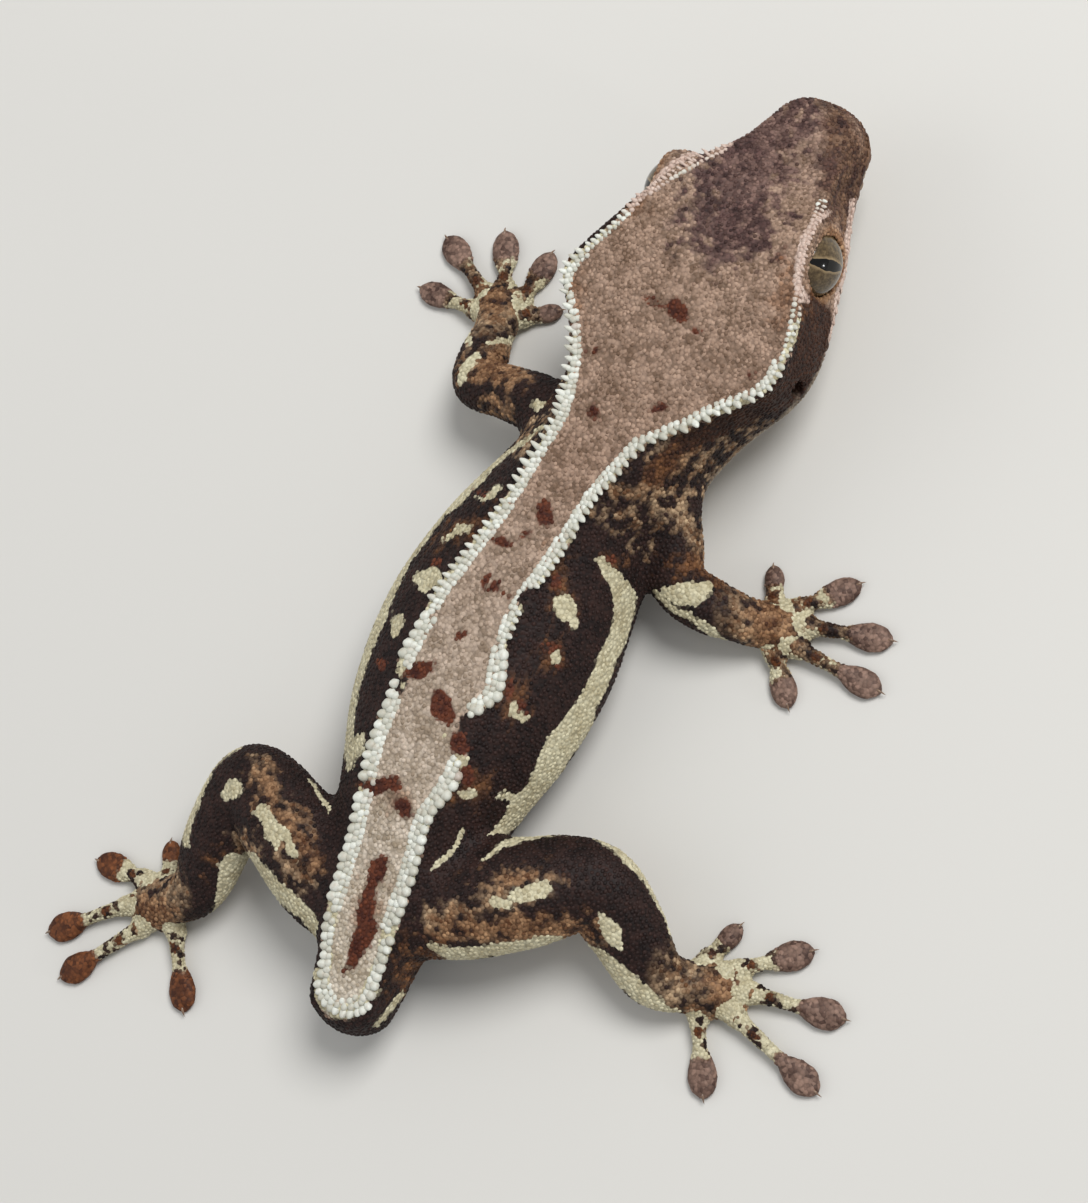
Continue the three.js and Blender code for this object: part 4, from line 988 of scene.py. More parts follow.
# Beaded gecko skin is dry and keratin-hard on each granule: a soft, broad highlight broken by grain.
def makeSkinMaterial(name, onGranules):
    material, tree = newMaterial(name)
    places = addNode(tree, "ShaderNodeTexCoord").outputs["Object"]
    cells = addNode(tree, "ShaderNodeTexVoronoi", {"feature": "F1", "Scale": 1 / (skinGrain["scale"] * mm)},
                    {"Vector": places})
    noises = {}
    for key, detail in (("patch", 4.0), ("fine", 2.0), ("fold", 3.0)):
        noises[key] = addNode(tree, "ShaderNodeTexNoise", {
            "Scale": 1 / (skinGrain[key] * mm), "Detail": detail}, {"Vector": places}).outputs["Fac"]
    if onGranules:
        each = addNode(tree, "ShaderNodeAttribute", {"attribute_name": "each"}).outputs["Fac"]
    else:
        each = addNode(tree, "ShaderNodeSeparateColor", {}, {"Color": cells.outputs["Color"]}).outputs["Red"]
    blend = addNode(tree, "ShaderNodeMath", {"operation": "MULTIPLY_ADD", 1: skinGrain["eachShare"]},
                    {0: each, 2: noises["patch"]})
    tone = addNode(tree, "ShaderNodeMapRange", {"From Min": 0.45, "From Max": 1.0},
                   {"Value": blend.outputs[0]}).outputs["Result"]
    colour = None
    for field, layer in skinLayers.items():
        low, high = (toLinear(c) for c in layer["colours"])
        own = addNode(tree, "ShaderNodeMix", {"data_type": "RGBA", 6: low, 7: high}, {0: tone}).outputs[2]
        if colour is None:
            colour = own
            continue
        value = addNode(tree, "ShaderNodeAttribute", {"attribute_name": field}).outputs["Fac"]
        if "soft" in layer:
            shift = addNode(tree, "ShaderNodeMath", {"operation": "MULTIPLY_ADD", 1: layer["ragged"],
                                                     2: -layer["ragged"] / 2}, {0: each})
            value = addNode(tree, "ShaderNodeMath", {"operation": "ADD"}, {0: value, 1: shift.outputs[0]})
            share = addNode(tree, "ShaderNodeMapRange", {"interpolation_type": "SMOOTHSTEP",
                                                         "From Min": -layer["soft"],
                                                         "From Max": layer["soft"]},
                            {"Value": value.outputs[0]}).outputs["Result"]
        else:
            share = addNode(tree, "ShaderNodeMath", {"operation": "MULTIPLY", 1: layer["share"]},
                            {0: value}).outputs[0]
        colour = addNode(tree, "ShaderNodeMix", {"data_type": "RGBA"},
                         {0: share, 6: colour, 7: own}).outputs[2]
    shades = [addNode(tree, "ShaderNodeMapRange", {"To Min": 0.9, "To Max": 1.08}, {"Value": each})]
    bumps = [("bumpFine", noises["fine"])]
    if not onGranules:
        # Where no granule meshes lie, the colour darkens toward the edge of each Voronoi cell: painted shade
        # in the grooves between granules.
        paintedGrooveShade = {"From Min": 0.35, "From Max": 0.75, "To Min": 1.0, "To Max": 0.72}
        shades.append(addNode(tree, "ShaderNodeMapRange", paintedGrooveShade, {"Value": cells.outputs["Distance"]}))
        dome = addNode(tree, "ShaderNodeMath", {"operation": "MULTIPLY", 1: -1.0},
                       {0: cells.outputs["Distance"]})
        bumps += [("bumpScale", dome.outputs[0]), ("bumpFold", noises["fold"])]
    for shade in shades:
        colour = addNode(tree, "ShaderNodeMix", {"data_type": "RGBA", "blend_type": "MULTIPLY", 0: 1.0},
                         {6: colour, 7: shade.outputs["Result"]}).outputs[2]
    links = {}
    for size, height in bumps:
        links["Height"] = height
        links["Normal"] = addNode(tree, "ShaderNodeBump", {
            "Strength": skinGrain["bump"], "Distance": skinGrain[size] * mm}, links).outputs["Normal"]
    shader = addNode(tree, "ShaderNodeBsdfPrincipled", {
        "Roughness": skinGrain["roughness"], "Specular IOR Level": skinGrain["specular"],
        "IOR": skinGrain["ior"],
    }, {"Base Color": colour, "Normal": links["Normal"]})
    finishMaterial(tree, shader)
    return material


skin.data.materials.append(makeSkinMaterial("beaded gecko skin", False))
granuleMaterial = makeSkinMaterial("beaded gecko granules", True)
print("skin material made")


# An unwrap of the skin's own shape: the trunk by length and girth, then each limb and its toes.
unwrap = {"trunkWide": 0.46, "limbFrom": 0.52, "limbWide": 0.2, "limbTall": 0.1, "row": 0.24, "margin": 0.02,
          "girth": 70.0, "trunkUp": 0.25, "limbUp": 0.1, "footUp": 0.12, "footFrom": 0.86, "footU": 0.005,
          "footV": 0.0045, "footReach": 14, "footTall": 4, "ankle": 0.8, "soleFrom": -0.2, "soleUp": 0.02,
          "patch": 0.003}


def bakePlaces():
    u = place["at"] / trunkLength * unwrap["trunkWide"] + unwrap["margin"]
    v = unwrap["trunkUp"] + place["girth"] / unwrap["girth"]
    nearest = place["trunk"]
    for row, (name, limb) in enumerate(limbs.items()):
        points, at = limbSamples(limb)[0], place[name + "At"]
        away = skinPoints - points[np.clip((at * (limbSteps - 1)).astype(int), 0, limbSteps - 1)]
        side = np.arctan2(away[:, 2], np.hypot(away[:, 0], away[:, 1]) * np.sign(away[:, 0] + away[:, 1]))
        closer = place[name] < nearest
        base = unwrap["margin"] + unwrap["row"] * row
        u = np.where(closer, unwrap["limbFrom"] + unwrap["limbWide"] * at, u)
        v = np.where(closer, base + unwrap["limbUp"] + unwrap["limbTall"] * side / math.pi, v)
        nearest = np.minimum(nearest, place[name])
        flat = skinPoints - np.array([*limb["hub"], palmShape["hubLift"]])
        onFoot = (place[name + "Palm"] < unwrap["footReach"]) & (np.abs(flat[:, 2]) < unwrap["footTall"])
        onFoot &= at > unwrap["ankle"]
        under = np.where(skinNormals[:, 2] < unwrap["soleFrom"], unwrap["soleUp"], 0.0)
        u = np.where(onFoot, unwrap["footFrom"] + unwrap["footU"] * flat[:, 0], u)
        v = np.where(onFoot, base + unwrap["footUp"] + unwrap["footV"] * flat[:, 1] + under, v)
    return u.clip(0.005, 0.99), v.clip(0.005, 0.99)


bakeU, bakeV = bakePlaces()
skinTree = BVHTree.FromPolygons([tuple(p) for p in skinPoints],
                                [tuple(p.vertices) for p in skin.data.polygons])
print("skin unwrapped")


# One joined mesh of many small like shapes. Each copy has a root on the skin, three axes and a size.
def scatterMesh(name, shape, faces, roots, axes, sizes, origins, material):
    count, corners = len(roots), len(shape)
    local = shape[None] * sizes[:, None, :]
    points = roots[:, None, :] + np.einsum("nij,nkj->nki", axes.transpose(0, 2, 1), local)
    offsets = np.arange(count)[:, None, None] * corners
    allFaces = (np.asarray(faces)[None] + offsets).reshape(-1, 3)
    loops = allFaces.ravel()
    mesh = bpy.data.meshes.new(name)
    flat = ((points.reshape(-1, 3) + planShift) * mm).astype(np.float32)
    mesh.vertices.add(len(flat))
    mesh.vertices.foreach_set("co", flat.ravel())
    mesh.loops.add(len(loops))
    mesh.loops.foreach_set("vertex_index", loops.astype(np.int32))
    mesh.polygons.add(len(allFaces))
    mesh.polygons.foreach_set("loop_start", (np.arange(len(allFaces)) * 3).astype(np.int32))
    mesh.update(calc_edges=True)
    mesh.validate()
    mesh.polygons.foreach_set("use_smooth", [True] * len(mesh.polygons))
    values = {key: field[origins] for key, field in fields.items()}
    values["each"] = np.array([chance.random() for _ in range(count)])
    for key, value in values.items():
        layer = mesh.attributes.new(key, "FLOAT", "POINT")
        layer.data.foreach_set("value", np.repeat(value, corners).astype(np.float32))
    patch = shape[:, :2] / np.abs(shape[:, :2]).max() * unwrap["patch"] / 2
    piece, corner = loops // corners, loops % corners
    uv = np.column_stack([bakeU[origins][piece], bakeV[origins][piece]]) + patch[corner]
    mesh.uv_layers.new(name="OFBake").data.foreach_set("uv", uv.astype(np.float32).ravel())
    mesh.materials.append(material)
    obj = bpy.data.objects.new(name, mesh)
    bpy.context.scene.collection.objects.link(obj)
    return obj


# Three axes at a point: across, along and out. The along axis leans toward the given direction.
def axesFrom(out, along):
    out = out / np.linalg.norm(out, axis=1)[:, None]
    along = along - out * (along * out).sum(1)[:, None]
    along = along / np.clip(np.linalg.norm(along, axis=1), 1e-6, None)[:, None]
    return np.stack([np.cross(along, out), along, out], 1)


# Faces of rows of points that close at one tip and on a flat base.
def rowFaces(around, rows):
    faces = []
    for row in range(rows - 1):
        for i in range(around):
            a, b = row * around + i, row * around + (i + 1) % around
            faces += [(a, b, a + around), (b, b + around, a + around)]
    last = (rows - 1) * around
    faces += [(last + i, last + (i + 1) % around, rows * around) for i in range(around)]
    return faces + [(0, i + 1, i) for i in range(1, around - 1)]


def domeShape(around, rows):
    points = []
    for row in range(rows):
        rise = row / rows * math.pi / 2
        for i in range(around):
            turn = (i + 0.5 * row) / around * 2 * math.pi
            points.append((math.cos(turn) * math.cos(rise), math.sin(turn) * math.cos(rise), math.sin(rise)))
    return np.array(points + [(0, 0, 1)]), rowFaces(around, rows)


# A blunt pointed scale with a round root, whose tip leans along it.
def coneShape(around, lean):
    rows, points = ((0, 1.0), (0.4, 0.92), (0.72, 0.7), (0.92, 0.34)), []
    for height, radius in rows:
        for i in range(around):
            turn = i / around * 2 * math.pi
            points.append((math.cos(turn) * radius, math.sin(turn) * radius + lean * height**2, height))
    return np.array(points + [(0, lean, 1.0)]), rowFaces(around, len(rows))


def drawEach(low, high, count):
    return np.array([chance.uniform(low, high) for _ in range(count)])


granules = {"around": 6, "rows": 2, "spacing": 0.43, "onHead": 0.92, "onToes": 0.85, "wide": (0.56, 0.66),
            "long": (0.95, 1.2), "height": 0.12, "tall": (0.8, 1.25), "creamLow": 0.35, "sink": 0.05,
            "headEnd": 34, "perPiece": 8800}


# Picks skin points that keep a distance from each other, by a grid of cells as wide as it.
def spreadPoints(order, spacing, allowed):
    steps = [(i, j, k) for i in (-1, 0, 1) for j in (-1, 0, 1) for k in (-1, 0, 1)]
    keys = np.floor(skinPoints / spacing.max()).astype(int)
    taken, kept = {}, []
    for i in order:
        if not allowed[i]:
            continue
        kx, ky, kz = keys[i]
        px, py, pz = skinPoints[i]
        limit = spacing[i]**2
        if all((q[0] - px)**2 + (q[1] - py)**2 + (q[2] - pz)**2 >= limit
               for a, b, c in steps for q in taken.get((kx + a, ky + b, kz + c), ())):
            taken.setdefault((kx, ky, kz), []).append((px, py, pz))
            kept.append(i)
    return np.array(kept)


# Eyes, the mouth line, toe pads and soles carry no granules.
bareSkin = {"socket": 0.05, "line": 0.5, "pad": 0.3}
soleHeight = 0.12


def onBareSkin():
    bare = skinPoints[:, 2] < soleHeight
    for field, least in bareSkin.items():
        bare |= fields[field] > least
    return bare


def makeGranules():
    order = list(range(len(skinPoints)))
    chance.shuffle(order)
    onHead = (place["trunk"] < 0.8) & (place["at"] < granules["headEnd"])
    onToes = np.min([place[name + "Toe"] for name in limbs], axis=0) < 0.5
    spacing = np.where(onHead, granules["spacing"] * granules["onHead"], granules["spacing"])
    spacing = np.where(onToes, granules["spacing"] * granules["onToes"], spacing)
    kept = spreadPoints(order, spacing, ~onBareSkin())
    shape, faces = domeShape(granules["around"], granules["rows"])
    out = skinNormals[kept]
    axes = axesFrom(out, np.tile([0.0, 1.0, 0.05], (len(kept), 1)))
    wide = spacing[kept] * drawEach(*granules["wide"], len(kept))
    long = wide * drawEach(*granules["long"], len(kept))
    smooth = np.clip(fields["cream"][kept] / 0.2, 0, 1)
    tall = granules["height"] * drawEach(*granules["tall"], len(kept)) * (1 - granules["creamLow"] * smooth)
    sizes = np.stack([wide, long, tall + granules["sink"]], 1)
    roots = skinPoints[kept] - out * granules["sink"]
    region = np.argsort(place["at"][kept], kind="stable")
    pieces = []
    for start in range(0, len(kept), granules["perPiece"]):
        part = region[start:start + granules["perPiece"]]
        pieces.append(scatterMesh(f"granules_{len(pieces) + 1}", shape, faces, roots[part], axes[part],
                                  sizes[part], kept[part], granuleMaterial))
    print("granules", len(kept), "triangles", len(kept) * len(faces))
    return pieces


coat = makeGranules()


# Point, normal and skin point number for places beside the trunk: straight below each, or else the nearest.
overhead = {"from": 40.0, "lowest": 3}


def rootsAt(points, fromAbove):
    found = []
    for p in points:
        root, normal, face, _ = skinTree.find_nearest(Vector(p))
        if fromAbove:
            below = skinTree.ray_cast(Vector((p[0], p[1], overhead["from"])), Vector((0, 0, -1)))
            if below[0] is not None and below[0].z >= overhead["lowest"]:
                root, normal, face, _ = below
        found.append((root, normal, skin.data.polygons[face].vertices[0]))
    return [np.array(column) for column in zip(*found)]


# Pointed crest scales are pale keratin: dry, a little waxy, with darker stains laid by a fine noise.
crestLook = {"grain": 0.5, "bump": 0.03, "roughness": 0.5, "specular": 0.45, "ior": 1.54,
             "colours": ("#b5b4a6", "#dadcd3"), "stain": "#a58d74", "rust": "#7c4624", "brow": "#bda193"}


def makeCrestMaterial():
    material, tree = newMaterial("pale keratin crest scales")
    places = addNode(tree, "ShaderNodeTexCoord").outputs["Object"]
    fine = addNode(tree, "ShaderNodeTexNoise", {"Scale": 1 / (crestLook["grain"] * mm), "Detail": 3.0},
                   {"Vector": places}).outputs["Fac"]
    each, rust, brow = (addNode(tree, "ShaderNodeAttribute", {"attribute_name": name}).outputs["Fac"]
                        for name in ("each", "rust", "brow"))
    low, high = (toLinear(c) for c in crestLook["colours"])
    colour = addNode(tree, "ShaderNodeMix", {"data_type": "RGBA", 6: low, 7: high}, {0: each}).outputs[2]
    for tint, value, start, end, most in (("stain", fine, 0.45, 0.8, 0.45), ("rust", rust, -0.1, 0.3, 1.0),
                                          ("brow", brow, -1.1, -0.3, 0.8)):
        share = addNode(tree, "ShaderNodeMapRange", {"From Min": start, "From Max": end, "To Max": most},
                        {"Value": value}).outputs["Result"]
        colour = addNode(tree, "ShaderNodeMix", {"data_type": "RGBA", 7: toLinear(crestLook[tint])},
                         {0: share, 6: colour}).outputs[2]
    normal = addNode(tree, "ShaderNodeBump", {"Strength": 0.5, "Distance": crestLook["bump"] * mm},
                     {"Height": fine}).outputs["Normal"]
    shader = addNode(tree, "ShaderNodeBsdfPrincipled", {
        "Roughness": crestLook["roughness"], "Specular IOR Level": crestLook["specular"],
        "IOR": crestLook["ior"],
    }, {"Base Color": colour, "Normal": normal})
    finishMaterial(tree, shader)
    return material


# Runs of pointed scales: start and end, then rows of shift inward, spacing, length, radius and rise.
crest = {
    "brow": {"from": 11.0, "to": 20.4, "rows": [(-0.1, 0.6, 0.42, 0.2, 0.3), (0.35, 0.5, 0.14, 0.3, 1.2)]},
    "lash": {"from": 12.6, "to": 16.4, "rows": [(-0.3, 0.85, 0.8, 0.17, 0.15)]},
    "temple": {"from": 20.6, "to": 28.6, "rows": [(0.1, 0.7, 0.45, 0.26, 0.5), (0.5, 0.6, 0.2, 0.34, 1.4)]},
    "corner": {"from": 28.8, "to": 34.2, "rows": [(0.15, 0.88, 0.75, 0.3, 0.35), (0.6, 0.6, 0.3, 0.4, 1.2),
                                                  (1.0, 0.6, 0.2, 0.36, 1.6)]},
    "neck": {"from": 34.4, "to": 56.0, "rows": [(0.2, 0.96, 0.98, 0.35, 0.3), (0.5, 0.6, 0.34, 0.42, 0.9),
                                                (0.95, 0.6, 0.22, 0.42, 1.6)]},
    "back": {"from": 56.2, "to": 70.0, "rows": [(0.2, 0.92, 0.82, 0.34, 0.4), (0.6, 0.62, 0.34, 0.44, 1.0),
                                                (1.1, 0.6, 0.22, 0.44, 1.8)]},
    "rump": {"from": 70.2, "to": 103.0, "rows": [(0.2, 1.1, 0.62, 0.6, 0.6), (0.75, 0.7, 0.34, 0.52, 1.4),
                                                 (1.35, 0.66, 0.2, 0.5, 2.5)]},
    "stub": {"from": 103.2, "to": 110.4, "rows": [(0.2, 1.0, 0.55, 0.56, 0.6), (0.75, 0.7, 0.3, 0.5, 1.4)]},
}
# The two edges of the stripe meet around the end of the stub.
stubTip = {"at": 109.8, "wide": 2.5, "turn": 75, "rows": [(2.5, 11, 0.5, 0.5, 0.7), (1.9, 9, 0.3, 0.48, 1.5),
                                                          (1.3, 6, 0.2, 0.46, 2.5)]}
crestShape = {"sink": 0.35, "around": 8, "lean": 0.25, "oval": 1.15, "bareGap": 0.15, "bareRust": 0.1,
              "from": 18.0}


def crestAside(run, at, sign):
    if run in ("brow", "lash"):
        return ringValue("crest", at)
    key = "left" if sign > 0 else "right"
    return smoothAt(stripe[key + "At"], stripe[key], at)


# The way toward the stub and the way to the left, for places along the spine.
def planAxes(at):
    ahead = np.stack([ringValue("headX", at), ringValue("headY", at), 0 * at], 1)
    return ahead, np.stack([ahead[:, 1], -ahead[:, 0], 0 * at], 1)


def crestRow(name, run, sign, row):
    shift, pitch, long, radius, rise = run["rows"][row]
    count = int((run["to"] - run["from"]) / pitch)
    at = run["from"] + (np.arange(count) + 0.5 * (row % 2)) * pitch + drawEach(-0.08, 0.08, count)
    aside = crestAside(name, at, sign) - shift + drawEach(-0.06, 0.06, count)
    root, out, origin = rootsAt(beside(at, sign * aside, crestShape["from"]), True)
    rises = rise * drawEach(0.8, 1.2, count)
    out = planAxes(at)[1] * sign + np.array([0, 0, 1.0]) * rises[:, None] + 0.3 * out
    out[:, 1] += drawEach(-0.1, 0.14, count)
    longs, radii = long * drawEach(0.78, 1.18, count), radius * drawEach(0.88, 1.14, count)
    kept = fields["gap"][origin] >= crestShape["bareGap"]
    kept &= fields["rust"][origin] <= crestShape["bareRust"]
    return [part[kept] for part in (root, out, origin, longs, radii)]


def stubRow(past, count, long, radius, rise):
    turn = np.radians(np.linspace(-stubTip["turn"], stubTip["turn"], count)) + drawEach(-0.03, 0.03, count)
    sides = np.where(turn > 0, crestAside("stub", stubTip["at"], 1), crestAside("stub", stubTip["at"], -1))
    at = stubTip["at"] + past * np.cos(turn)
    places = beside(at, sides * np.sin(turn) * past / stubTip["wide"], crestShape["from"])
    root, out, origin = rootsAt(places, True)
    ahead, sideways = planAxes(at)
    out = ahead * np.cos(turn)[:, None] + sideways * np.sin(turn)[:, None] + 0.3 * out
    out[:, 2] += rise
    return [root, out, origin, long * drawEach(0.8, 1.2, count), radius * drawEach(0.9, 1.1, count)]


def makeCrest():
    parts = [crestRow(name, run, sign, row) for name, run in crest.items() for sign in (1, -1)
             for row in range(len(run["rows"])) if name != "lash" or sign > 0]
    parts += [stubRow(*row) for row in stubTip["rows"]]
    roots, outs, origins, longs, radii = (np.concatenate(column) for column in zip(*parts))
    outs = outs / np.linalg.norm(outs, axis=1)[:, None]
    axes = axesFrom(outs, np.tile([0.0, 1.0, 0.3], (len(roots), 1)))
    sizes = np.stack([radii, radii * crestShape["oval"], longs + crestShape["sink"]], 1)
    shape, faces = coneShape(crestShape["around"], crestShape["lean"])
    print("crest scales", len(roots))
    return scatterMesh("crest_scales", shape, faces, roots - outs * crestShape["sink"], axes, sizes, origins,
                       makeCrestMaterial())


crestScales = makeCrest()


# Lip plates stand side by side along both edges of the mouth.
lips = {"from": 0.6, "to": 23.5, "pitch": 1.05, "wide": 0.56, "tall": 0.5, "deep": 0.16, "gap": 0.24,
        "shrinkOver": 60, "around": 10, "rows": 3, "square": 0.75, "sink": 0.05}


def makeLipPlates():
    columns = []
    at = np.arange(lips["from"], lips["to"], lips["pitch"])
    shrink = np.clip(1.15 - at / lips["shrinkOver"], 0.7, 1.2)
    size = np.stack([lips["wide"] * shrink, lips["tall"] * shrink, np.full(len(at), lips["deep"])], 1)
    for sign in (1, -1):
        for row in (1, -1):
            height = smoothAt(mouth["places"], mouth["heights"], at) + row * (lips["tall"] + lips["gap"])
            found = rootsAt(beside(at, sign * ringValue("half", at) * 1.1, height), False)
            columns.append([*found, size])
    roots, outs, origins, sizes = (np.concatenate(column) for column in zip(*columns))
    axes = axesFrom(outs, np.tile([0.0, 0.0, 1.0], (len(roots), 1)))
    shape, faces = domeShape(lips["around"], lips["rows"])
    shape = np.sign(shape) * np.abs(shape)**np.array([lips["square"], lips["square"], 1.0])
    return scatterMesh("lip_plates", shape, faces, roots - outs * lips["sink"], axes, sizes, origins,
                       granuleMaterial)


lipPlates = makeLipPlates()


# Claws are thin horn: glossy brown, lighter and darker by a fine noise.
claw = {"long": 1.2, "wide": 0.2, "tall": 0.26, "lift": 0.72, "back": 0.7, "around": 10, "steps": 9,
        "taper": 0.75, "arch": 0.22, "hook": 0.5, "hookPower": 2.2, "tipDrop": 0.42, "grain": 0.4,
        "roughness": 0.28,
        "colours": ("#4a3428", "#967a62")}


def makeClawMaterial():
    material, tree = newMaterial("thin horn claw")
    places = addNode(tree, "ShaderNodeTexCoord").outputs["Object"]
    fine = addNode(tree, "ShaderNodeTexNoise", {"Scale": 1 / (claw["grain"] * mm), "Detail": 2.0},
                   {"Vector": places})
    low, high = (toLinear(c) for c in claw["colours"])
    colour = addNode(tree, "ShaderNodeMix", {"data_type": "RGBA", 6: low, 7: high},
                     {0: fine.outputs["Fac"]}).outputs[2]
    shader = addNode(tree, "ShaderNodeBsdfPrincipled", {
        "Roughness": claw["roughness"], "Specular IOR Level": 0.5, "IOR": 1.55}, {"Base Color": colour})
    finishMaterial(tree, shader)
    return material


def makeClaws():
    points, faces = [], []
    around, steps = claw["around"], claw["steps"]
    for limb in limbs.values():
        for base, tip, _ in toesOf(limb):
            heading = np.array([*(np.array(tip) - np.array(base)), 0.0])
            heading /= np.linalg.norm(heading)
            side = np.array([-heading[1], heading[0], 0.0])
            start = len(points)
            for step in range(steps):
                t = step / steps
                thin = (1 - t)**claw["taper"]
                middle = np.array([*tip, claw["lift"]]) + heading * (claw["long"] * t - claw["back"])
                bend = claw["arch"] * math.sin(t * 2.6) - claw["hook"] * t**claw["hookPower"]
                middle = middle + np.array([0, 0, bend])
                for i in range(around):
                    turn = i / around * 2 * math.pi
                    points.append(middle + side * math.cos(turn) * claw["wide"] * thin
                                  + np.array([0, 0, math.sin(turn) * claw["tall"] * thin]))
            end = np.array([*tip, claw["lift"] - claw["tipDrop"]])
            points.append(end + heading * (claw["long"] - claw["back"]))
            for row in range(steps - 1):
                for i in range(around):
                    a, b = start + row * around + i, start + row * around + (i + 1) % around
                    faces.append((a, a + around, b + around, b))
            last = start + (steps - 1) * around
            faces += [(last + i, len(points) - 1, last + (i + 1) % around) for i in range(around)]
            faces.append(tuple(start + i for i in range(around)))
    points = np.array(points)
    points[:, 2] = points[:, 2].clip(0.02)
    obj = meshFrom("claws", points, faces)
    obj.data.materials.append(makeClawMaterial())
    return obj


claws = makeClaws()
print("crest, lips and claws made")


# A gecko's eye is a wet, lidless ball: olive iris with dark veins, and a slit pupil with wavy edges.
iris = {"raised": 11.0, "roll": 15.0, "pupilLong": 2.9, "pupilWide": 0.62, "wave": 0.08, "waveScale": 1.3,
        "veins": 0.55, "roughness": 0.16, "specular": 0.3, "ior": 1.38, "coat": 0.4, "coatRough": 0.04,
        "colours": ("#2c2218", "#54452f", "#77664a"), "edge": "#a08a68", "pupil": "#050403"}


def makeEyeMaterial():
    material, tree = newMaterial("wet gecko eye")
    u, v = (addNode(tree, "ShaderNodeAttribute", {"attribute_name": name}).outputs["Fac"]
            for name in ("eyeAcross", "eyeUp"))
    flat = addNode(tree, "ShaderNodeCombineXYZ", {}, {"X": u, "Y": v}).outputs["Vector"]
    veins = addNode(tree, "ShaderNodeTexNoise", {"Scale": 1 / iris["veins"], "Detail": 5.0, "Roughness": 0.7},
                    {"Vector": flat}).outputs["Fac"]
    waves = addNode(tree, "ShaderNodeTexNoise", {"Scale": iris["waveScale"], "Detail": 1.0}, {"Vector": flat})
    # The pupil is two arcs with a wavy edge, and beyond is how far past it a point lies, in mm.
    length = addNode(tree, "ShaderNodeMath", {"operation": "MULTIPLY", 1: 1 / iris["pupilLong"]},
                     {0: v}).outputs[0]
    square = addNode(tree, "ShaderNodeMath", {"operation": "MULTIPLY"}, {0: length, 1: length}).outputs[0]
    narrow = addNode(tree, "ShaderNodeMath", {"operation": "SUBTRACT", 0: 1.0}, {1: square}).outputs[0]
    width = addNode(tree, "ShaderNodeMath", {"operation": "MULTIPLY", 1: iris["pupilWide"]},
                    {0: narrow}).outputs[0]
    wave = addNode(tree, "ShaderNodeMath", {
        "operation": "MULTIPLY_ADD", 1: iris["wave"] * 4, 2: -iris["wave"] * 2,
    }, {0: waves.outputs["Fac"]}).outputs[0]
    width = addNode(tree, "ShaderNodeMath", {"operation": "ADD"}, {0: width, 1: wave}).outputs[0]
    across = addNode(tree, "ShaderNodeMath", {"operation": "ABSOLUTE"}, {0: u}).outputs[0]
    beyond = addNode(tree, "ShaderNodeMath", {"operation": "SUBTRACT"}, {0: across, 1: width}).outputs[0]
    dark, middle, light = (toLinear(c) for c in iris["colours"])
    low = addNode(tree, "ShaderNodeMapRange", {"From Min": 0.3, "From Max": 0.52}, {"Value": veins})
    colour = addNode(tree, "ShaderNodeMix", {"data_type": "RGBA", 6: dark, 7: middle},
                     {0: low.outputs["Result"]}).outputs[2]
    for tint, value, start, end, first, last in ((light, veins, 0.5, 0.72, 0.0, 1.0),
                                                 (toLinear(iris["edge"]), beyond, 0.0, 0.32, 0.75, 0.0),
                                                 (toLinear(iris["pupil"]), beyond, -0.03, 0.03, 1.0, 0.0)):
        share = addNode(tree, "ShaderNodeMapRange", {"From Min": start, "From Max": end, "To Min": first,
                                                     "To Max": last}, {"Value": value}).outputs["Result"]
        colour = addNode(tree, "ShaderNodeMix", {"data_type": "RGBA", 7: tint},
                         {0: share, 6: colour}).outputs[2]
    shader = addNode(tree, "ShaderNodeBsdfPrincipled", {
        "Roughness": iris["roughness"], "Specular IOR Level": iris["specular"], "IOR": iris["ior"],
        "Coat Weight": iris["coat"], "Coat Roughness": iris["coatRough"],
    }, {"Base Color": colour})
    finishMaterial(tree, shader)
    return material


eyeMaterial = makeEyeMaterial()
eyeMesh = {"around": 72, "rows": 48, "inset": 0.02}


def makeEye(name, sign):
    centre, gaze = eyeCentre(sign), eyeGaze(sign, iris["raised"])
    flat = np.cross(np.array([0, 0, 1.0]), gaze)
    flat /= np.linalg.norm(flat)
    roll = math.radians(sign * iris["roll"])
    upward = math.cos(roll) * np.cross(gaze, flat) + math.sin(roll) * flat
    along = np.cross(upward, gaze)
    local, faces = [(0.0, 0.0, 1.0)], []
    around, rows = eyeMesh["around"], eyeMesh["rows"]
    for row in range(1, rows):
        tilt = row / rows * math.pi
        for i in range(around):
            turn = i / around * 2 * math.pi
            local.append((math.sin(tilt) * math.cos(turn), math.sin(tilt) * math.sin(turn), math.cos(tilt)))
    local.append((0.0, 0.0, -1.0))
    faces += [(0, 1 + i, 1 + (i + 1) % around) for i in range(around)]
    for row in range(rows - 2):
        for i in range(around):
            a, b = 1 + row * around + i, 1 + row * around + (i + 1) % around
            faces.append((a, a + around, b + around, b))
    last = 1 + (rows - 2) * around
    faces += [(last + i, len(local) - 1, last + (i + 1) % around) for i in range(around)]
    local = np.array(local) * (eye["radius"] - eyeMesh["inset"])
    points = centre + local @ np.stack([along, upward, gaze])
    obj = meshFrom(name, points, faces)
    for key, values in (("eyeAcross", local[:, 0]), ("eyeUp", local[:, 1])):
        layer = obj.data.attributes.new(key, "FLOAT", "POINT")
        layer.data.foreach_set("value", values.astype(np.float32))
    obj.data.materials.append(eyeMaterial)
    return obj


eyes = [makeEye("eyeball_left", 1), makeEye("eyeball_right", -1)]
print("eyes made")


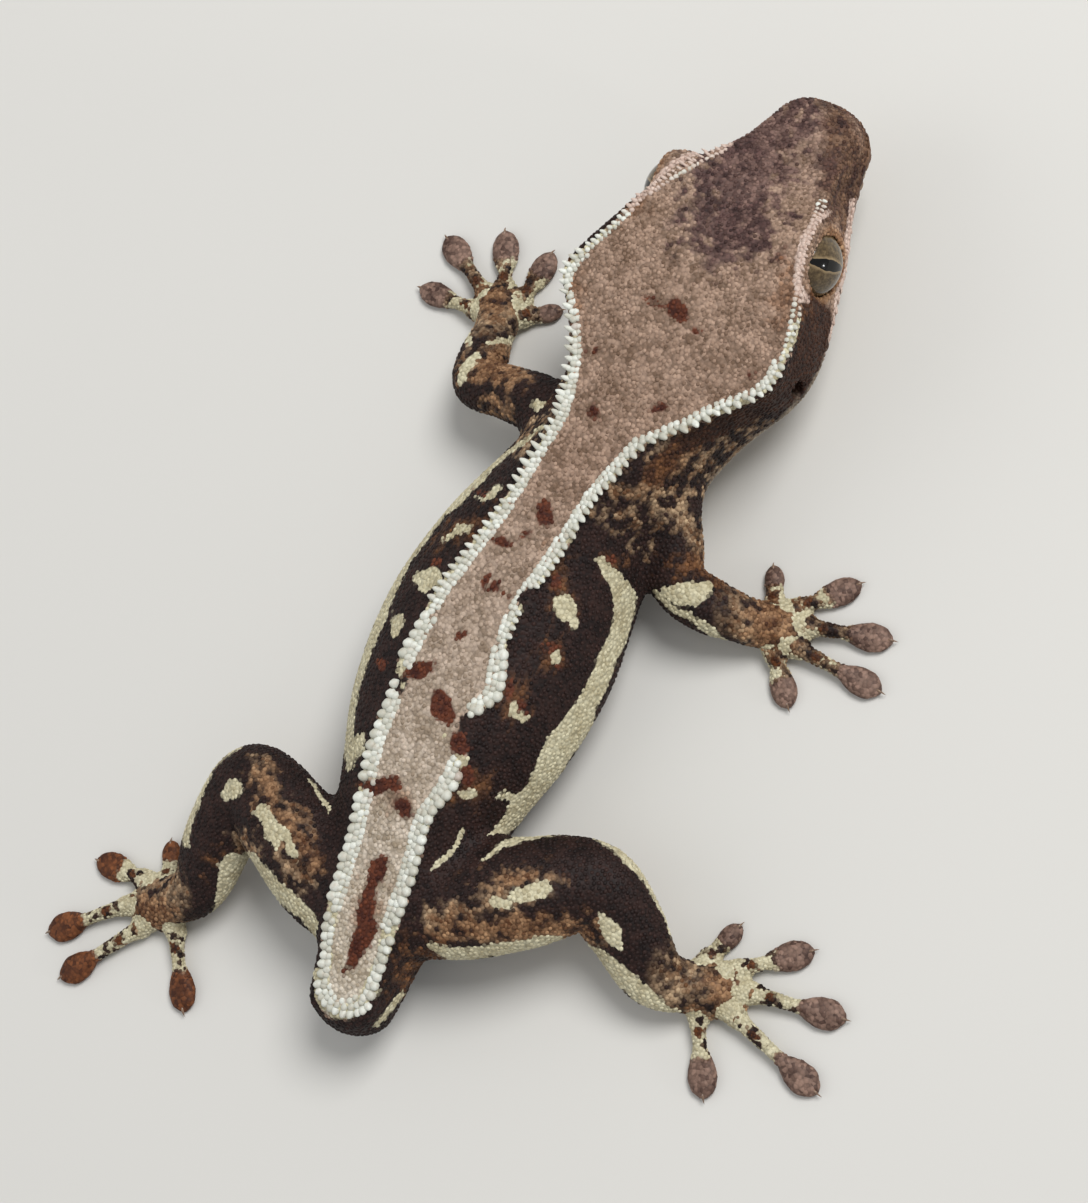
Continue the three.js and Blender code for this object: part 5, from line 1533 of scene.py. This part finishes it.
# Lights have a place, what they aim at, a size in metres and watts.
stage = {"floor": 3.0, "floorColour": "#cfcdc8", "world": 0.52, "worldColour": "#eef0f2"}
lights = {"key light": ((-0.25, -0.45, 0.75), (0, 0, 0), 0.45, 6.8),
          "fill light": ((0.6, 0.35, 0.5), (0, 0, 0), 0.7, 1.2),
          "eye light": ((-0.9, -0.12, 0.22), (0, -0.04, 0.01), 0.07, 0.6)}


def makeFloor():
    reach = stage["floor"] / 2
    mesh = bpy.data.meshes.new("floor")
    corners = [(-reach, -reach, 0), (reach, -reach, 0), (reach, reach, 0), (-reach, reach, 0)]
    mesh.from_pydata(corners, [], [(0, 1, 2, 3)])
    obj = bpy.data.objects.new("floor", mesh)
    bpy.context.scene.collection.objects.link(obj)
    material, tree = newMaterial("plain matt floor")
    shader = addNode(tree, "ShaderNodeBsdfPrincipled", {"Base Color": toLinear(stage["floorColour"]),
                                                        "Roughness": 0.9, "Specular IOR Level": 0.2})
    finishMaterial(tree, shader)
    mesh.materials.append(material)


def addLight(name, at, aim, size, power):
    data = bpy.data.lights.new(name, "AREA")
    data.shape = "DISK"
    data.size = size
    data.energy = power
    obj = bpy.data.objects.new(name, data)
    obj.location = at
    obj.rotation_euler = (Vector(at) - Vector(aim)).to_track_quat("Z", "Y").to_euler()
    bpy.context.scene.collection.objects.link(obj)


def makeLights():
    for name, settings in lights.items():
        addLight(name, *settings)
    world = bpy.data.worlds.new("studio")
    world.use_nodes = True
    back = world.node_tree.nodes["Background"]
    back.inputs["Color"].default_value = toLinear(stage["worldColour"])
    back.inputs["Strength"].default_value = stage["world"]
    bpy.context.scene.world = world
    bpy.context.scene.view_settings.view_transform = "Standard"  # shows the hex colours as they are given


makeFloor()
makeLights()
print("stage set")

fleshNodes = ["head", "lower_jaw", "neck", "torso", "tail_stub"]
for limb in limbs.values():
    fleshNodes += limb["nodes"] + [f"{limb['toes']}_{i + 1}" for i in range(5)]
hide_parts(*fleshNodes)
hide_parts("eye_left")
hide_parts("eye_right")
for piece in [skin, *eyes, *coat, crestScales, lipPlates, claws]:
    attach(piece, "root")
